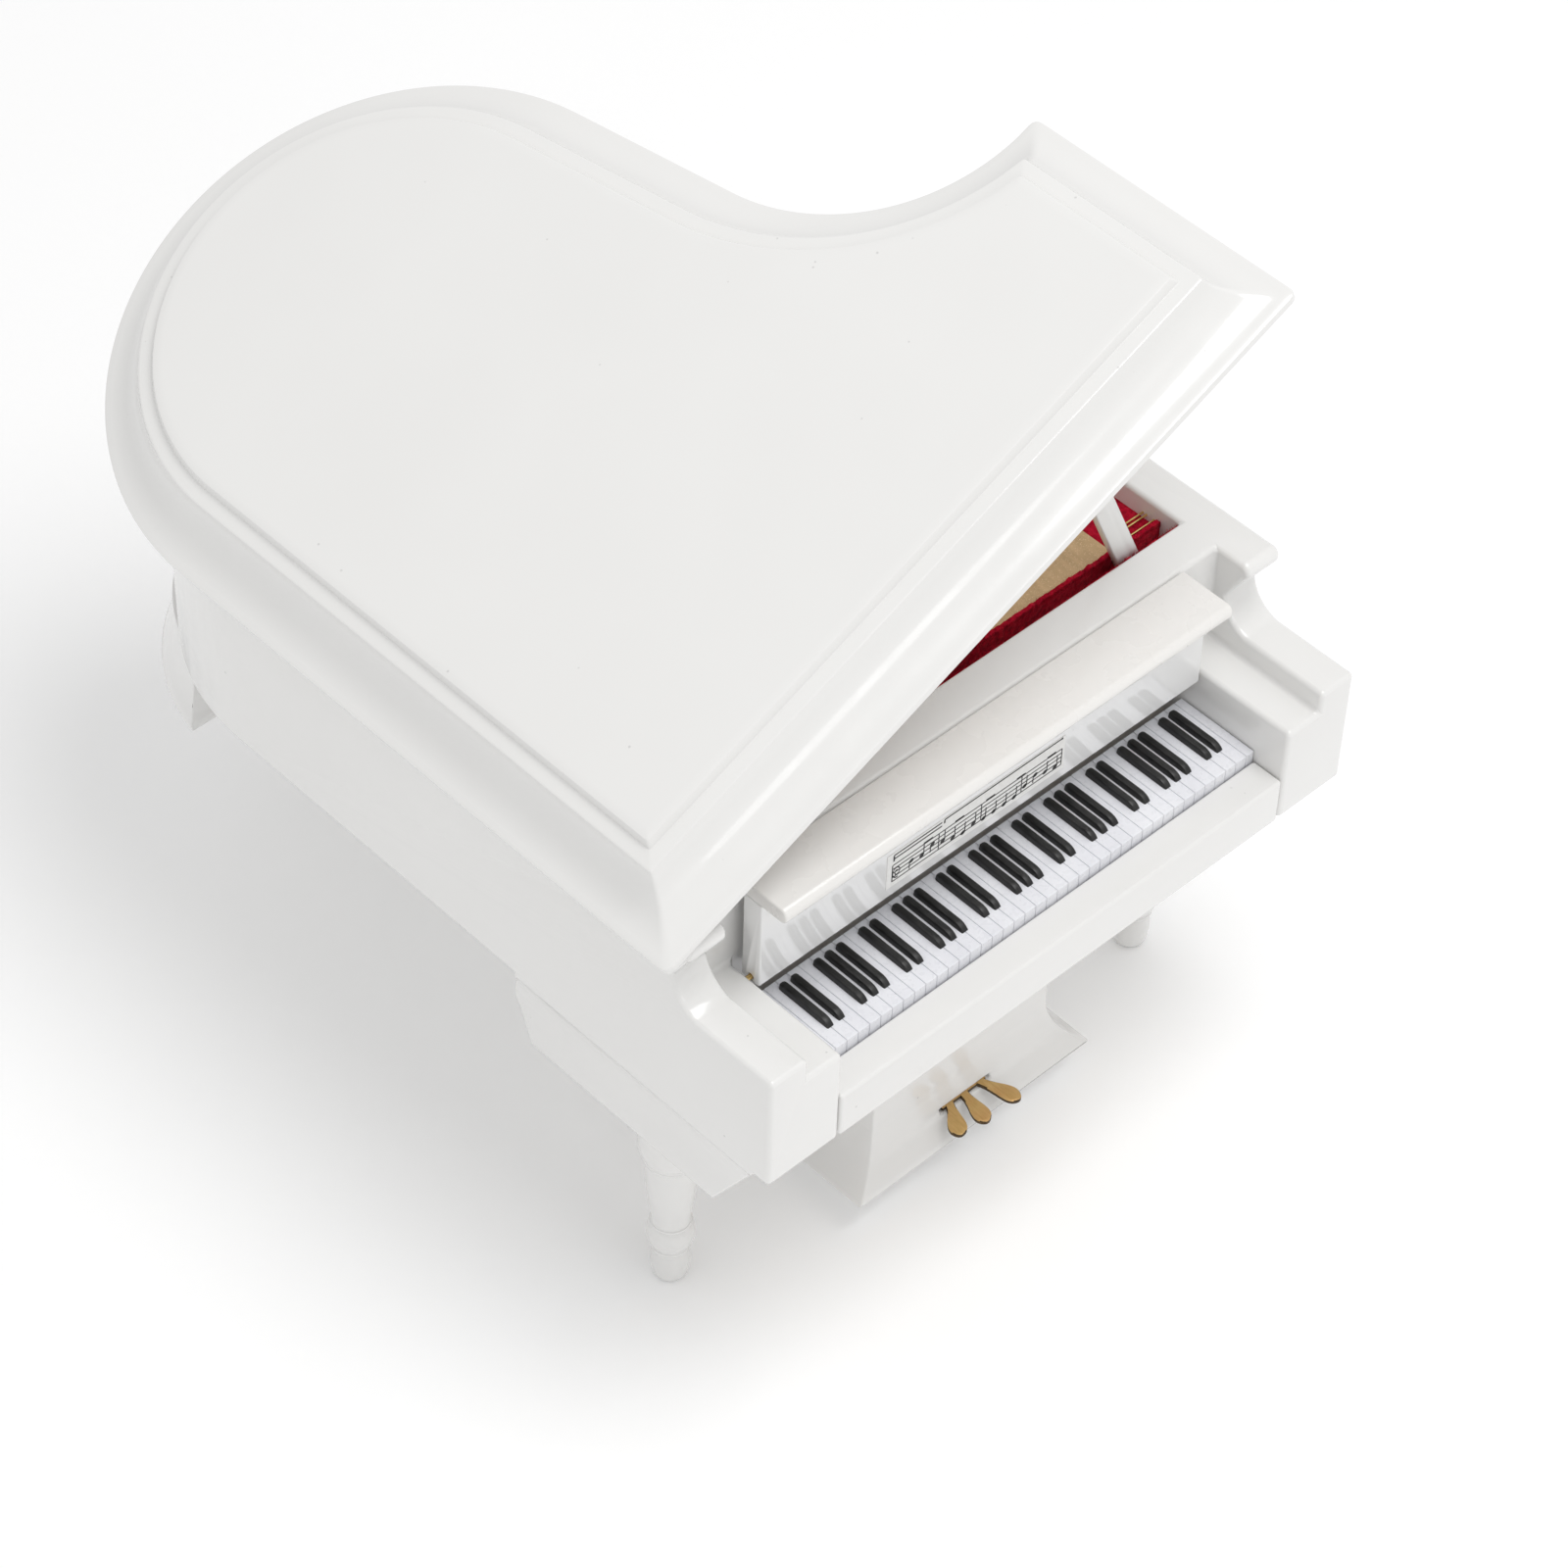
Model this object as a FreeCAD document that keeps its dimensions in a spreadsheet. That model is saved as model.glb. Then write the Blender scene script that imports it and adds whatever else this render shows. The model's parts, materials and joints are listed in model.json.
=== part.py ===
import FreeCAD, Part
import math
import os

import Sketcher

# A miniature grand piano for a doll's house, all in millimetres.
#
# Case frame, in which every size below is given: +X to the player's right with 0 midway between the
# two sides, +Y from the keyboard to the tail with 0 at the front face, +Z up with 0 at the case's
# underside. frame_x, frame_y and frame_z move it so that the model's origin is the middle of the
# piano's box, on the floor.

DIMENSIONS = {
    # The model's origin in the case frame, sign reversed
    "frame_x": 2.909,
    "frame_y": -91.15,
    "frame_z": 59.7,
    # Case walls
    "case_half": 65.0,
    "case_top": 39.1,
    "wall": 7.7,
    "spine_end": 127.9,
    "treble_end": 58.0,
    "arm_top": 24.1,
    # Plan of the case: a concave bend, and the round tail that the spine runs into
    "bend_x": 70.5,
    "bend_y": 110.0,
    "bend_radius": 43.8,
    "tail_radius": 45.0,
    # Bottom and keyboard
    "bottom_thick": 3.0,
    "key_half": 50.0,
    "block_top": 19.87,
    "block_back": 25.4,
    "slip_depth": 6.37,
    "slip_top": 9.32,
    "keybed_top": 6.0,
    "key_front": 6.6,
    "key_back": 22.9,
    "key_top": 11.3,
    "key_gap": 0.2,
    "key_pitch": 2.443,
    "first_sharp": -42.35,
    "sharp_front": 10.2,
    "sharp_top": 12.5,
    "sharp_width": 1.4,
    "sharp_rail": 1.2,
    # Top rail and the velvet-lined trough that the prop stick folds into
    "rail_back": 33.4,
    "trough_back": 37.3,
    "trough_bottom": 21.0,
    "trough_floor": 2.0,
    "strip_back": 38.3,
    "strip_top": 36.2,
    "ledge_back": 40.3,
    # Soundboard, velvet and harp plate
    "deck_bottom": 31.0,
    "deck_top": 33.5,
    "velvet_top": 34.5,
    "plate_top": 35.4,
    "plate_right": 47.0,
    "plate_margin": 3.0,
    "plate_front": 38.6,
    "bridge_margin": 10.0,
    "bridge_width": 1.6,
    "bridge_top": 36.3,
    "bridge_front": 62.0,
    # Strings and wires
    "string_radius": 0.15,
    "string_front": 50.0,
    "pin_row": 49.2,
    "pin_radius": 0.4,
    "pin_top": 37.4,
    "wire_radius": 0.2,
    "wire_height": 35.6,
    "wire_gap": 1.0,
    # Fallboard
    "board_half": 49.2,
    "board_front": 19.3,
    "board_back": 23.4,
    "board_bottom": 18.2,
    "board_top": 36.4,
    "lip_front": 14.0,
    "lip_back": 25.1,
    "lip_top": 39.3,
    "lip_round": 1.3,
    "board_pivot_y": 21.35,
    "board_pivot_z": 18.95,
    "board_pin_radius": 0.45,
    "board_bore_radius": 0.5,
    "board_pin_reach": 3.0,
    "sheet_left": -22.3,
    "sheet_right": 17.2,
    "sheet_bottom": 20.5,
    "sheet_top": 28.0,
    "sheet_thick": 0.12,
    # Lid, drawn closed about its hinge axis and opened by lid_angle
    "lid_angle": 24.14,
    "hinge_x": -66.05,
    "hinge_z": 38.1,
    "lid_left": -69.8,
    "lid_right": 72.4,
    "lid_front": 17.2,
    "lid_bend_radius": 36.8,
    "lid_tail_radius": 50.0,
    "lid_tail_y": 132.3,
    "lid_under": 39.79,
    "lid_edge": 1.6,
    "lid_slope": 7.9,
    "lid_slope_angle": 46.0,
    "lid_field_inset": 12.2,
    "lid_field": 2.0,
    # Lid hinges
    "knuckle_radius": 0.95,
    "hinge_pin_radius": 0.35,
    "hinge_bore_radius": 0.4,
    "leaf_thick": 0.3,
    "leaf_reach": 7.0,
    "hinge_long": 12.0,
    "hinge_end_knuckle": 3.0,
    "hinge_gap": 0.1,
    "hinge_web": 0.6,
    "hinge_web_low": 0.5,
    "rim_leaf_left": 0.2,
    "lid_leaf_left": -0.8,
    "front_hinge_y": 38.0,
    "rear_hinge_y": 104.0,
    # Prop stick and the block it holds the lid by
    "prop_x": 52.5,
    "prop_z": 24.0,
    "prop_front": 34.6,
    "prop_thick": 2.0,
    "prop_half": 2.15,
    "prop_long": 54.3,
    "prop_heel": 2.6,
    "prop_pin_radius": 0.8,
    "prop_bore_radius": 0.86,
    "prop_pin_depth": 2.0,
    "rest_start": 101.6,
    "rest_long": 5.8,
    "rest_deep": 8.0,
    "rest_front": 34.2,
    "rest_back": 36.8,
    # Blocks under the case that carry the legs
    "leg_block_inner": 44.0,
    "leg_block_drop": 14.0,
    "leg_block_quirk": 1.2,
    "leg_block_lip": 1.0,
    "leg_block_cove": 1.8,
    "leg_block_front": 3.5,
    "leg_block_front_low": 12.4,
    "leg_block_back": 58.6,
    "leg_block_back_low": 54.6,
    "leg_block_neck": 59.0,
    "leg_block_neck_drop": 2.2,
    "leg_block_nose": 59.9,
    "leg_block_nose_drop": 5.0,
    "leg_block_chin": 59.4,
    "leg_block_chin_drop": 7.0,
    "tail_block_x": -21.2,
    "tail_block_y": 138.8,
    "tail_block_radius": 41.0,
    "tail_block_front": 145.6,
    "tail_block_cove": 2.6,
    "tail_block_cove_middle": 2.08,
    # Legs
    "leg_x": 55.0,
    "leg_y": 32.3,
    "tail_leg_x": -21.2,
    "tail_leg_y": 157.0,
    "dowel_radius": 2.5,
    "dowel_long": 8.0,
    # Pedal box and pedals
    "lyre_half": 20.5,
    "lyre_front": 20.6,
    "lyre_back": 33.0,
    "lyre_base_top": -41.0,
    "lyre_bottom": -52.0,
    "lyre_base_half": 27.4,
    "lyre_base_front": 15.9,
    "lyre_cove_rise": 5.0,
    "lyre_side_cove": 2.0,
    "lyre_front_cove": 3.2,
    "pedal_top": -46.6,
    "pedal_thick": 0.8,
    "pedal_half": 4.9,
    "pedal_back": 20.3,
}

# Outline of the turned leg: (radius, height) from the floor up to the block
LEG_PROFILE = [
    (2.2, -59.7), (2.9, -58.7), (3.3, -56.7), (3.35, -54.7), (3.15, -52.9), (3.1, -52.3), (3.5, -51.3),
    (4.05, -49.7), (4.1, -48.1), (3.9, -46.5), (3.5, -45.3), (3.45, -44.3), (3.65, -42.7), (3.95, -40.3),
    (4.25, -37.3), (4.3, -33.1), (4.25, -29.3), (4.8, -28.1), (5.3, -26.9), (5.55, -25.1), (5.6, -23.1),
]
SHARP_GROUPS = [2, 3, 2, 3, 2, 3, 2, 3, 2, 3, 2]
STRING_XS = [-51.0 + 3.6 * step for step in range(27)]
WIRE_YS = [38.9, 40.6, 41.4]
# Each pedal: x of its root, then the middle of its round end
PEDALS = [(-3.6, -5.93, 14.91), (-0.25, -1.02, 14.03), (3.55, 5.8, 13.77)]
PEDAL_ROOT_Y = 19.0
PEDAL_ROOT_HALF = 0.85
PEDAL_END_RADIUS = 1.6
# How far a cutting shape runs past the solid that it cuts
CLEAR = 1.0
# Points nearer than this count as the same
TOUCH = 0.01

doc = FreeCAD.newDocument("miniature_grand_piano")
sheet = doc.addObject("Spreadsheet::Sheet", "Dimensions")
parts = []


class Size:
    """A number together with the sheet expression that gives it."""

    def __init__(self, number, text):
        self.number = number
        self.text = text

    def __add__(self, other):
        other = size(other)
        return Size(self.number + other.number, f"({self.text} + {other.text})")

    def __sub__(self, other):
        other = size(other)
        return Size(self.number - other.number, f"({self.text} - {other.text})")

    def __mul__(self, other):
        other = size(other)
        return Size(self.number * other.number, f"({self.text} * {other.text})")

    def __neg__(self):
        return Size(-self.number, f"(0 - {self.text})")


def size(value):
    """A plain number as a Size; a Size as it is."""
    return value if isinstance(value, Size) else Size(float(value), f"({float(value)})")


def fill_sheet():
    """Writes one row for each driving dimension and gives its cell an alias."""
    for row, (name, value) in enumerate(DIMENSIONS.items(), start=1):
        sheet.set(f"A{row}", name)
        sheet.set(f"B{row}", str(value))
        sheet.setAlias(f"B{row}", name)
    doc.recompute()


class Dims:
    """Looks a driving dimension up by name."""

    def __getattr__(self, name):
        return Size(DIMENSIONS[name], f"Dimensions.{name}")


D = Dims()


class Via:
    """A point that the arc between its two neighbours passes through."""

    def __init__(self, x, y):
        self.point = (size(x), size(y))


# ---------------------------------------------------------------- bodies, sketches and features


def place(item, x=0.0, y=0.0, z=0.0, turn=None):
    """Puts an object's own origin at a point of the case frame, turned about its Y axis."""
    if turn is not None:
        item.Placement = FreeCAD.Placement(FreeCAD.Vector(), FreeCAD.Rotation(FreeCAD.Vector(0, 1, 0), 1))
        item.setExpression("Placement.Rotation.Angle", turn.text)
    for axis, value, shift in (("x", x, D.frame_x), ("y", y, D.frame_y), ("z", z, D.frame_z)):
        item.setExpression(f"Placement.Base.{axis}", (size(value) + shift).text)


def new_body(name, x=0.0, y=0.0, z=0.0, turn=None):
    """A PartDesign body for one node."""
    body = doc.addObject("PartDesign::Body", name)
    body.Label = name
    place(body, x, y, z, turn)
    parts.append(body)
    return body


def new_sketch(body, plane, height):
    """A sketch parallel to one of the body's own origin planes, height along that plane's normal."""
    support = next(item for item in body.Origin.OriginFeatures if item.Role == f"{plane}_Plane")
    sketch = body.newObject("Sketcher::SketchObject", f"{body.Name}_sketch")
    sketch.AttachmentSupport = (support, "")
    sketch.MapMode = "FlatFace"
    sketch.setExpression("AttachmentOffset.Base.z", size(height).text)
    return sketch


def pin_point(sketch, geometry, position, x, y):
    """Fixes a point of the sketch at sizes from the sheet."""
    for kind, value in (("DistanceX", x), ("DistanceY", y)):
        value = size(value)
        index = sketch.addConstraint(Sketcher.Constraint(kind, -1, 1, geometry, position, value.number))
        sketch.setExpression(f"Constraints[{index}]", value.text)


def fix_radius(sketch, geometry, radius):
    radius = size(radius)
    index = sketch.addConstraint(Sketcher.Constraint("Radius", geometry, radius.number))
    sketch.setExpression(f"Constraints[{index}]", radius.text)


def circle_through(start, middle, end):
    """Centre and radius of the circle through three points."""
    (ax, ay), (bx, by), (cx, cy) = start, middle, end
    double = 2 * (ax * (by - cy) + bx * (cy - ay) + cx * (ay - by))
    a2, b2, c2 = ax * ax + ay * ay, bx * bx + by * by, cx * cx + cy * cy
    x = (a2 * (by - cy) + b2 * (cy - ay) + c2 * (ay - by)) / double
    y = (a2 * (cx - bx) + b2 * (ax - cx) + c2 * (bx - ax)) / double
    return x, y, math.hypot(ax - x, ay - y)


def add_arc(sketch, x, y, radius, first, last):
    """Adds the arc that runs counter-clockwise from one angle to the other, in radians."""
    circle = Part.Circle(FreeCAD.Vector(x, y, 0), FreeCAD.Vector(0, 0, 1), radius)
    return sketch.addGeometry(Part.ArcOfCircle(circle, first, last), False)


def draw_outline(sketch, outline):
    """Draws a closed outline of corners, with an arc wherever a Via stands between two of them."""
    corners = [(size(p[0]), size(p[1])) for p in outline if not isinstance(p, Via)]
    vias = {}
    for index, item in enumerate(outline):
        if isinstance(item, Via):
            vias[sum(1 for p in outline[:index] if not isinstance(p, Via)) - 1] = item.point
    joints = []
    for index, start in enumerate(corners):
        end = corners[(index + 1) % len(corners)]
        p, q = (start[0].number, start[1].number), (end[0].number, end[1].number)
        if index not in vias:
            geometry = sketch.addGeometry(
                Part.LineSegment(FreeCAD.Vector(*p, 0), FreeCAD.Vector(*q, 0)), False)
            joints.append((geometry, 1, 2))
            continue
        via = (vias[index][0].number, vias[index][1].number)
        x, y, radius = circle_through(p, via, q)
        first, last = math.atan2(p[1] - y, p[0] - x), math.atan2(q[1] - y, q[0] - x)
        left_turn = (via[0] - p[0]) * (q[1] - via[1]) - (via[1] - p[1]) * (q[0] - via[0]) > 0
        if left_turn:
            geometry = add_arc(sketch, x, y, radius, first, last)
            joints.append((geometry, 1, 2))
        else:
            geometry = add_arc(sketch, x, y, radius, last, first)
            joints.append((geometry, 2, 1))
        kind, centre = ("DistanceX", x) if abs(q[1] - p[1]) > abs(q[0] - p[0]) else ("DistanceY", y)
        sketch.addConstraint(Sketcher.Constraint(kind, -1, 1, geometry, 3, centre))
    for index, (geometry, start, _) in enumerate(joints):
        before, _, end = joints[index - 1]
        sketch.addConstraint(Sketcher.Constraint("Coincident", before, end, geometry, start))
        pin_point(sketch, geometry, start, *corners[index])


def draw_circle(sketch, x, y, radius):
    x, y, radius = size(x), size(y), size(radius)
    circle = Part.Circle(FreeCAD.Vector(x.number, y.number, 0), FreeCAD.Vector(0, 0, 1), radius.number)
    geometry = sketch.addGeometry(circle, False)
    pin_point(sketch, geometry, 3, x, y)
    fix_radius(sketch, geometry, radius)


def far_end(plane, start, end):
    """Where a pad's sketch stands: a pad grows along the plane's normal, which is -Y for XZ."""
    return -size(end) if plane == "XZ" else size(start)


def near_end(plane, start, end):
    """Where a pocket's sketch stands: a pocket cuts against the plane's normal."""
    return -size(start) if plane == "XZ" else size(end)


def add_feature(body, kind, sketch, start, end):
    feature = body.newObject(f"PartDesign::{kind}", f"{body.Name}_{kind.lower()}")
    feature.Profile = sketch
    feature.setExpression("Length", (size(end) - start).text)
    return feature


def pad(body, plane, outline, start, end):
    """Adds the outline's prism between two places on the axis across the plane."""
    sketch = new_sketch(body, plane, far_end(plane, start, end))
    draw_outline(sketch, outline)
    return add_feature(body, "Pad", sketch, start, end)


def pocket(body, plane, outline, start, end):
    """Removes the outline's prism between two places on the axis across the plane."""
    sketch = new_sketch(body, plane, near_end(plane, start, end))
    draw_outline(sketch, outline)
    return add_feature(body, "Pocket", sketch, start, end)


def pad_circle(body, plane, x, y, radius, start, end):
    sketch = new_sketch(body, plane, far_end(plane, start, end))
    draw_circle(sketch, x, y, radius)
    return add_feature(body, "Pad", sketch, start, end)


def bore(body, plane, x, y, radius, start, end):
    sketch = new_sketch(body, plane, near_end(plane, start, end))
    draw_circle(sketch, x, y, radius)
    return add_feature(body, "Pocket", sketch, start, end)


def turned(body, kind, outline):
    """Adds (Revolution) or removes (Groove) the outline turned about the body's own Z axis."""
    sketch = new_sketch(body, "XZ", 0)
    draw_outline(sketch, outline)
    feature = body.newObject(f"PartDesign::{kind}", f"{body.Name}_{kind.lower()}")
    feature.Profile = sketch
    feature.ReferenceAxis = (sketch, ["V_Axis"])
    feature.Angle = 360
    return feature


def round_edges(body, radius, chosen):
    """Rounds the edges of the body's last feature whose middle passes the test."""
    doc.recompute()
    base = body.Tip
    names = []
    for number, edge in enumerate(base.Shape.Edges, start=1):
        middle = edge.valueAt((edge.FirstParameter + edge.LastParameter) / 2)
        if chosen(middle, edge):
            names.append(f"Edge{number}")
    fillet = body.newObject("PartDesign::Fillet", f"{body.Name}_fillet")
    fillet.Base = (base, names)
    fillet.setExpression("Radius", size(radius).text)


def rectangle(left, right, low, high):
    return [(left, low), (right, low), (right, high), (left, high)]


def box(name, x, y, z):
    """A plain rectangular piece, from its two limits along each axis."""
    body = new_body(name)
    pad(body, "XY", rectangle(*x, *y), *z)
    return body


# ---------------------------------------------------------------- the wing-shaped plan


CASE_PLAN = {
    "left": -D.case_half,
    "right": D.case_half,
    "bend_x": D.bend_x,
    "bend_y": D.bend_y,
    "bend_radius": D.bend_radius,
    "tail_radius": D.tail_radius,
    "tail_y": D.spine_end,
}
LID_PLAN = {
    "left": D.lid_left - D.hinge_x,
    "right": D.lid_right - D.hinge_x,
    "bend_x": D.bend_x - D.hinge_x,
    "bend_y": D.bend_y,
    "bend_radius": D.lid_bend_radius,
    "tail_radius": D.lid_tail_radius,
    "tail_y": D.lid_tail_y,
}


def tangent_angle(plan):
    """Angle, seen from the bend's centre, of the straight run's start; the inset doesn't change it."""
    across = plan["left"].number + plan["tail_radius"].number - plan["bend_x"].number
    along = plan["tail_y"].number - plan["bend_y"].number
    radii = plan["bend_radius"].number + plan["tail_radius"].number
    return math.atan2(along, across) + math.acos(radii / math.hypot(across, along))


def draw_wing(sketch, plan, front, inset=0.0, right=None):
    """Draws the plan moved inwards by inset: straight front and sides, bend, straight run, round tail."""
    inset = size(inset)
    left = plan["left"] + inset
    right = plan["right"] - inset if right is None else right
    front = size(front)
    bend_radius = plan["bend_radius"] + inset
    tail_radius = plan["tail_radius"] - inset
    bend = (plan["bend_x"].number, plan["bend_y"].number)
    tail = (left.number + tail_radius.number, plan["tail_y"].number)
    angle = tangent_angle(plan)
    corner_angle = 2 * math.pi - math.acos((right.number - bend[0]) / bend_radius.number)
    corner_y = bend[1] + bend_radius.number * math.sin(corner_angle)
    across, along = math.cos(angle), math.sin(angle)
    run_start = (bend[0] + bend_radius.number * across, bend[1] + bend_radius.number * along)
    run_end = (tail[0] - tail_radius.number * across, tail[1] - tail_radius.number * along)

    def add_line(x0, y0, x1, y1):
        segment = Part.LineSegment(FreeCAD.Vector(x0, y0, 0), FreeCAD.Vector(x1, y1, 0))
        return sketch.addGeometry(segment, False)

    front_line = add_line(left.number, front.number, right.number, front.number)
    right_line = add_line(right.number, front.number, right.number, corner_y)
    bend_arc = add_arc(sketch, *bend, bend_radius.number, angle, corner_angle)
    run_line = add_line(*run_start, *run_end)
    tail_arc = add_arc(sketch, *tail, tail_radius.number, angle - math.pi, math.pi)
    left_line = add_line(left.number, tail[1], left.number, front.number)
    for kind, *ends in (
        ("Coincident", front_line, 2, right_line, 1),
        ("Coincident", right_line, 2, bend_arc, 2),
        ("Tangent", bend_arc, 1, run_line, 1),
        ("Tangent", run_line, 2, tail_arc, 1),
        ("Tangent", tail_arc, 2, left_line, 1),
        ("Coincident", left_line, 2, front_line, 1),
        ("Horizontal", front_line),
        ("Vertical", right_line),
        ("Vertical", left_line),
    ):
        sketch.addConstraint(Sketcher.Constraint(kind, *ends))
    pin_point(sketch, front_line, 1, left, front)
    for kind, geometry, position, value in (
        ("DistanceX", front_line, 2, right),
        ("DistanceX", bend_arc, 3, plan["bend_x"]),
        ("DistanceY", bend_arc, 3, plan["bend_y"]),
        ("DistanceY", tail_arc, 3, plan["tail_y"]),
    ):
        index = sketch.addConstraint(Sketcher.Constraint(kind, -1, 1, geometry, position, value.number))
        sketch.setExpression(f"Constraints[{index}]", value.text)
    fix_radius(sketch, bend_arc, bend_radius)
    fix_radius(sketch, tail_arc, tail_radius)


def pad_wing(body, plan, start, end, **shape):
    sketch = new_sketch(body, "XY", start)
    draw_wing(sketch, plan, **shape)
    return add_feature(body, "Pad", sketch, start, end)


def wing_board(name, start, end, **shape):
    """A flat board of the case's plan between two heights."""
    body = new_body(name)
    pad_wing(body, CASE_PLAN, start, end, **shape)
    return body


def wing_band(name, start, end, front, inset, width, left_end):
    """A strip that follows the bend and the tail, cut square at the treble front and at the spine."""
    body = new_body(name)
    sheet_front = D.rail_back
    pad_wing(body, CASE_PLAN, start, end, front=sheet_front, inset=inset)
    sketch = new_sketch(body, "XY", end)
    draw_wing(sketch, CASE_PLAN, front=sheet_front - CLEAR, inset=size(inset) + width)
    past = sheet_front - CLEAR - CLEAR
    add_feature(body, "Pocket", sketch, start, end)
    inner = -D.case_half + inset + width
    pocket(body, "XY", rectangle(-D.case_half - CLEAR, D.case_half + CLEAR, past, front), start, end)
    pocket(body, "XY", rectangle(-D.case_half - CLEAR, inner, past, left_end), start, end)
    return body


# ---------------------------------------------------------------- case


INNER = D.case_half - D.wall
# The end of each side board, from the case top down to the arm, as (y, height)
SCROLL_PROFILE = [
    (20.2, D.case_top), Via(18.2, 37.9), (19.1, 35.9), (22.4, 30.4), Via(20.7, 26.4), (16.8, D.arm_top),
]


def side_outline(length):
    """Side board seen from the side: the arm, the cove behind it and the overhanging scroll."""
    return [(0, 0), (length, 0), (length, D.case_top)] + SCROLL_PROFILE + [(0, D.arm_top)]


def make_case():
    spine = new_body("spine_side")
    pad(spine, "YZ", side_outline(D.spine_end), -D.case_half, -INNER)
    treble = new_body("treble_side")
    pad(treble, "YZ", side_outline(D.treble_end), INNER, D.case_half)
    wing_band("bent_rim", 0, D.case_top, D.treble_end, 0, D.wall, D.spine_end)
    wing_board("bottom_board", 0, D.bottom_thick, front=D.block_back, inset=D.wall)
    top_rail = box("top_rail", (-INNER, INNER), (D.block_back, D.rail_back), (D.bottom_thick, D.case_top))
    bore(top_rail, "XZ", D.prop_x, D.prop_z, D.prop_pin_radius, D.rail_back - D.prop_pin_depth, D.rail_back)


def make_keyboard():
    bore_start = D.key_half + D.board_pin_reach
    for name, left, right, bore_left, bore_right in (
        ("left_key_block", -INNER, -D.key_half, -bore_start, -D.key_half),
        ("right_key_block", D.key_half, INNER, D.key_half, bore_start),
    ):
        block = box(name, (left, right), (0, D.block_back), (0, D.block_top))
        bore(block, "YZ", D.board_pivot_y, D.board_pivot_z, D.board_pin_radius, bore_left, bore_right)
    key_half = D.key_half - D.key_gap
    box("key_slip", (-key_half, key_half), (0, D.slip_depth), (0, D.slip_top))
    box("keybed", (-D.key_half, D.key_half), (D.slip_depth, D.block_back), (0, D.keybed_top))
    box("white_keys", (-key_half, key_half), (D.key_front, D.key_back), (D.keybed_top, D.key_top))
    make_sharps(key_half)


def primitive(kind, name, x, y, z, **sizes):
    """A Part primitive with its sizes and its place bound to the sheet."""
    item = doc.addObject(f"Part::{kind}", name)
    for field, value in sizes.items():
        item.setExpression(field, size(value).text)
    for axis, value in (("x", x), ("y", y), ("z", z)):
        item.setExpression(f"Placement.Base.{axis}", size(value).text)
    return item


def gather(kind, name, items):
    """One node made of several primitives: a MultiFuse joins them, a Compound keeps them apart."""
    group = doc.addObject(f"Part::{kind}", name)
    group.Label = name
    if kind == "Compound":
        group.Links = items
    else:
        group.Shapes = items
    place(group)
    parts.append(group)
    return group


def sharp_positions():
    """Where the sharps stand, in white keys from the first one; one place is left out after each group."""
    start = 0
    positions = []
    for group in SHARP_GROUPS:
        positions += [start + step for step in range(group)]
        start += group + 1
    return positions


def make_sharps(key_half):
    """The sharps stand on one hidden rail under the fallboard."""
    rail_y = D.key_back - D.sharp_rail
    height = D.sharp_top - D.key_top
    items = [primitive("Box", "sharps_rail", -key_half, rail_y, D.key_top,
                       Length=key_half + key_half, Width=D.sharp_rail, Height=height)]
    for number, position in enumerate(sharp_positions()):
        left = D.first_sharp + D.key_pitch * position - D.sharp_width * 0.5
        items.append(primitive("Box", f"sharp_{number}", left, D.sharp_front, D.key_top,
                               Length=D.sharp_width, Width=D.key_back - D.sharp_front, Height=height))
    gather("MultiFuse", "black_sharps", items)


def make_interior():
    box("trough_floor", (-INNER, INNER), (D.rail_back, D.trough_back),
        (D.trough_bottom - D.trough_floor, D.trough_bottom))
    box("velvet_strip", (-INNER, INNER), (D.trough_back, D.strip_back), (D.trough_bottom, D.strip_top))
    box("deck_ledge", (-INNER, INNER), (D.strip_back, D.ledge_back), (D.bottom_thick, D.deck_top))
    wing_board("soundboard", D.deck_bottom, D.deck_top, front=D.ledge_back, inset=D.wall)
    wing_board("velvet_floor", D.deck_top, D.velvet_top, front=D.strip_back, inset=D.wall)
    wing_board("harp_plate", D.velvet_top, D.plate_top, front=D.plate_front,
               inset=D.wall + D.plate_margin, right=D.plate_right)
    wing_band("string_bridge", D.plate_top, D.bridge_top, D.bridge_front,
              D.wall + D.bridge_margin, D.bridge_width, D.spine_end)
    make_strings()


def string_reach(x, margin=6.0):
    """How far back a string at x may run: to the plan's inner edge less a margin."""
    inset = DIMENSIONS["wall"] + margin
    bend_radius = DIMENSIONS["bend_radius"] + inset
    tail_radius = DIMENSIONS["tail_radius"] - inset
    tail_x = DIMENSIONS["tail_radius"] - DIMENSIONS["case_half"]
    angle = tangent_angle(CASE_PLAN)
    run_start_x = DIMENSIONS["bend_x"] + bend_radius * math.cos(angle)
    run_start_y = DIMENSIONS["bend_y"] + bend_radius * math.sin(angle)
    run_end_x = tail_x - tail_radius * math.cos(angle)
    run_end_y = DIMENSIONS["spine_end"] - tail_radius * math.sin(angle)
    if x <= run_end_x:
        return DIMENSIONS["spine_end"] + math.sqrt(tail_radius ** 2 - (x - tail_x) ** 2)
    if x <= run_start_x:
        return run_end_y + (run_start_y - run_end_y) * (x - run_end_x) / (run_start_x - run_end_x)
    return DIMENSIONS["bend_y"] - math.sqrt(bend_radius ** 2 - (x - DIMENSIONS["bend_x"]) ** 2)


def lie_along(item, axis):
    """Lays a cylinder, drawn upright, along +X or +Y."""
    turn = FreeCAD.Rotation(FreeCAD.Vector(0, 1, 0), 90) if axis == "x" else FreeCAD.Rotation(
        FreeCAD.Vector(1, 0, 0), -90)
    item.Placement = FreeCAD.Placement(item.Placement.Base, turn)


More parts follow.
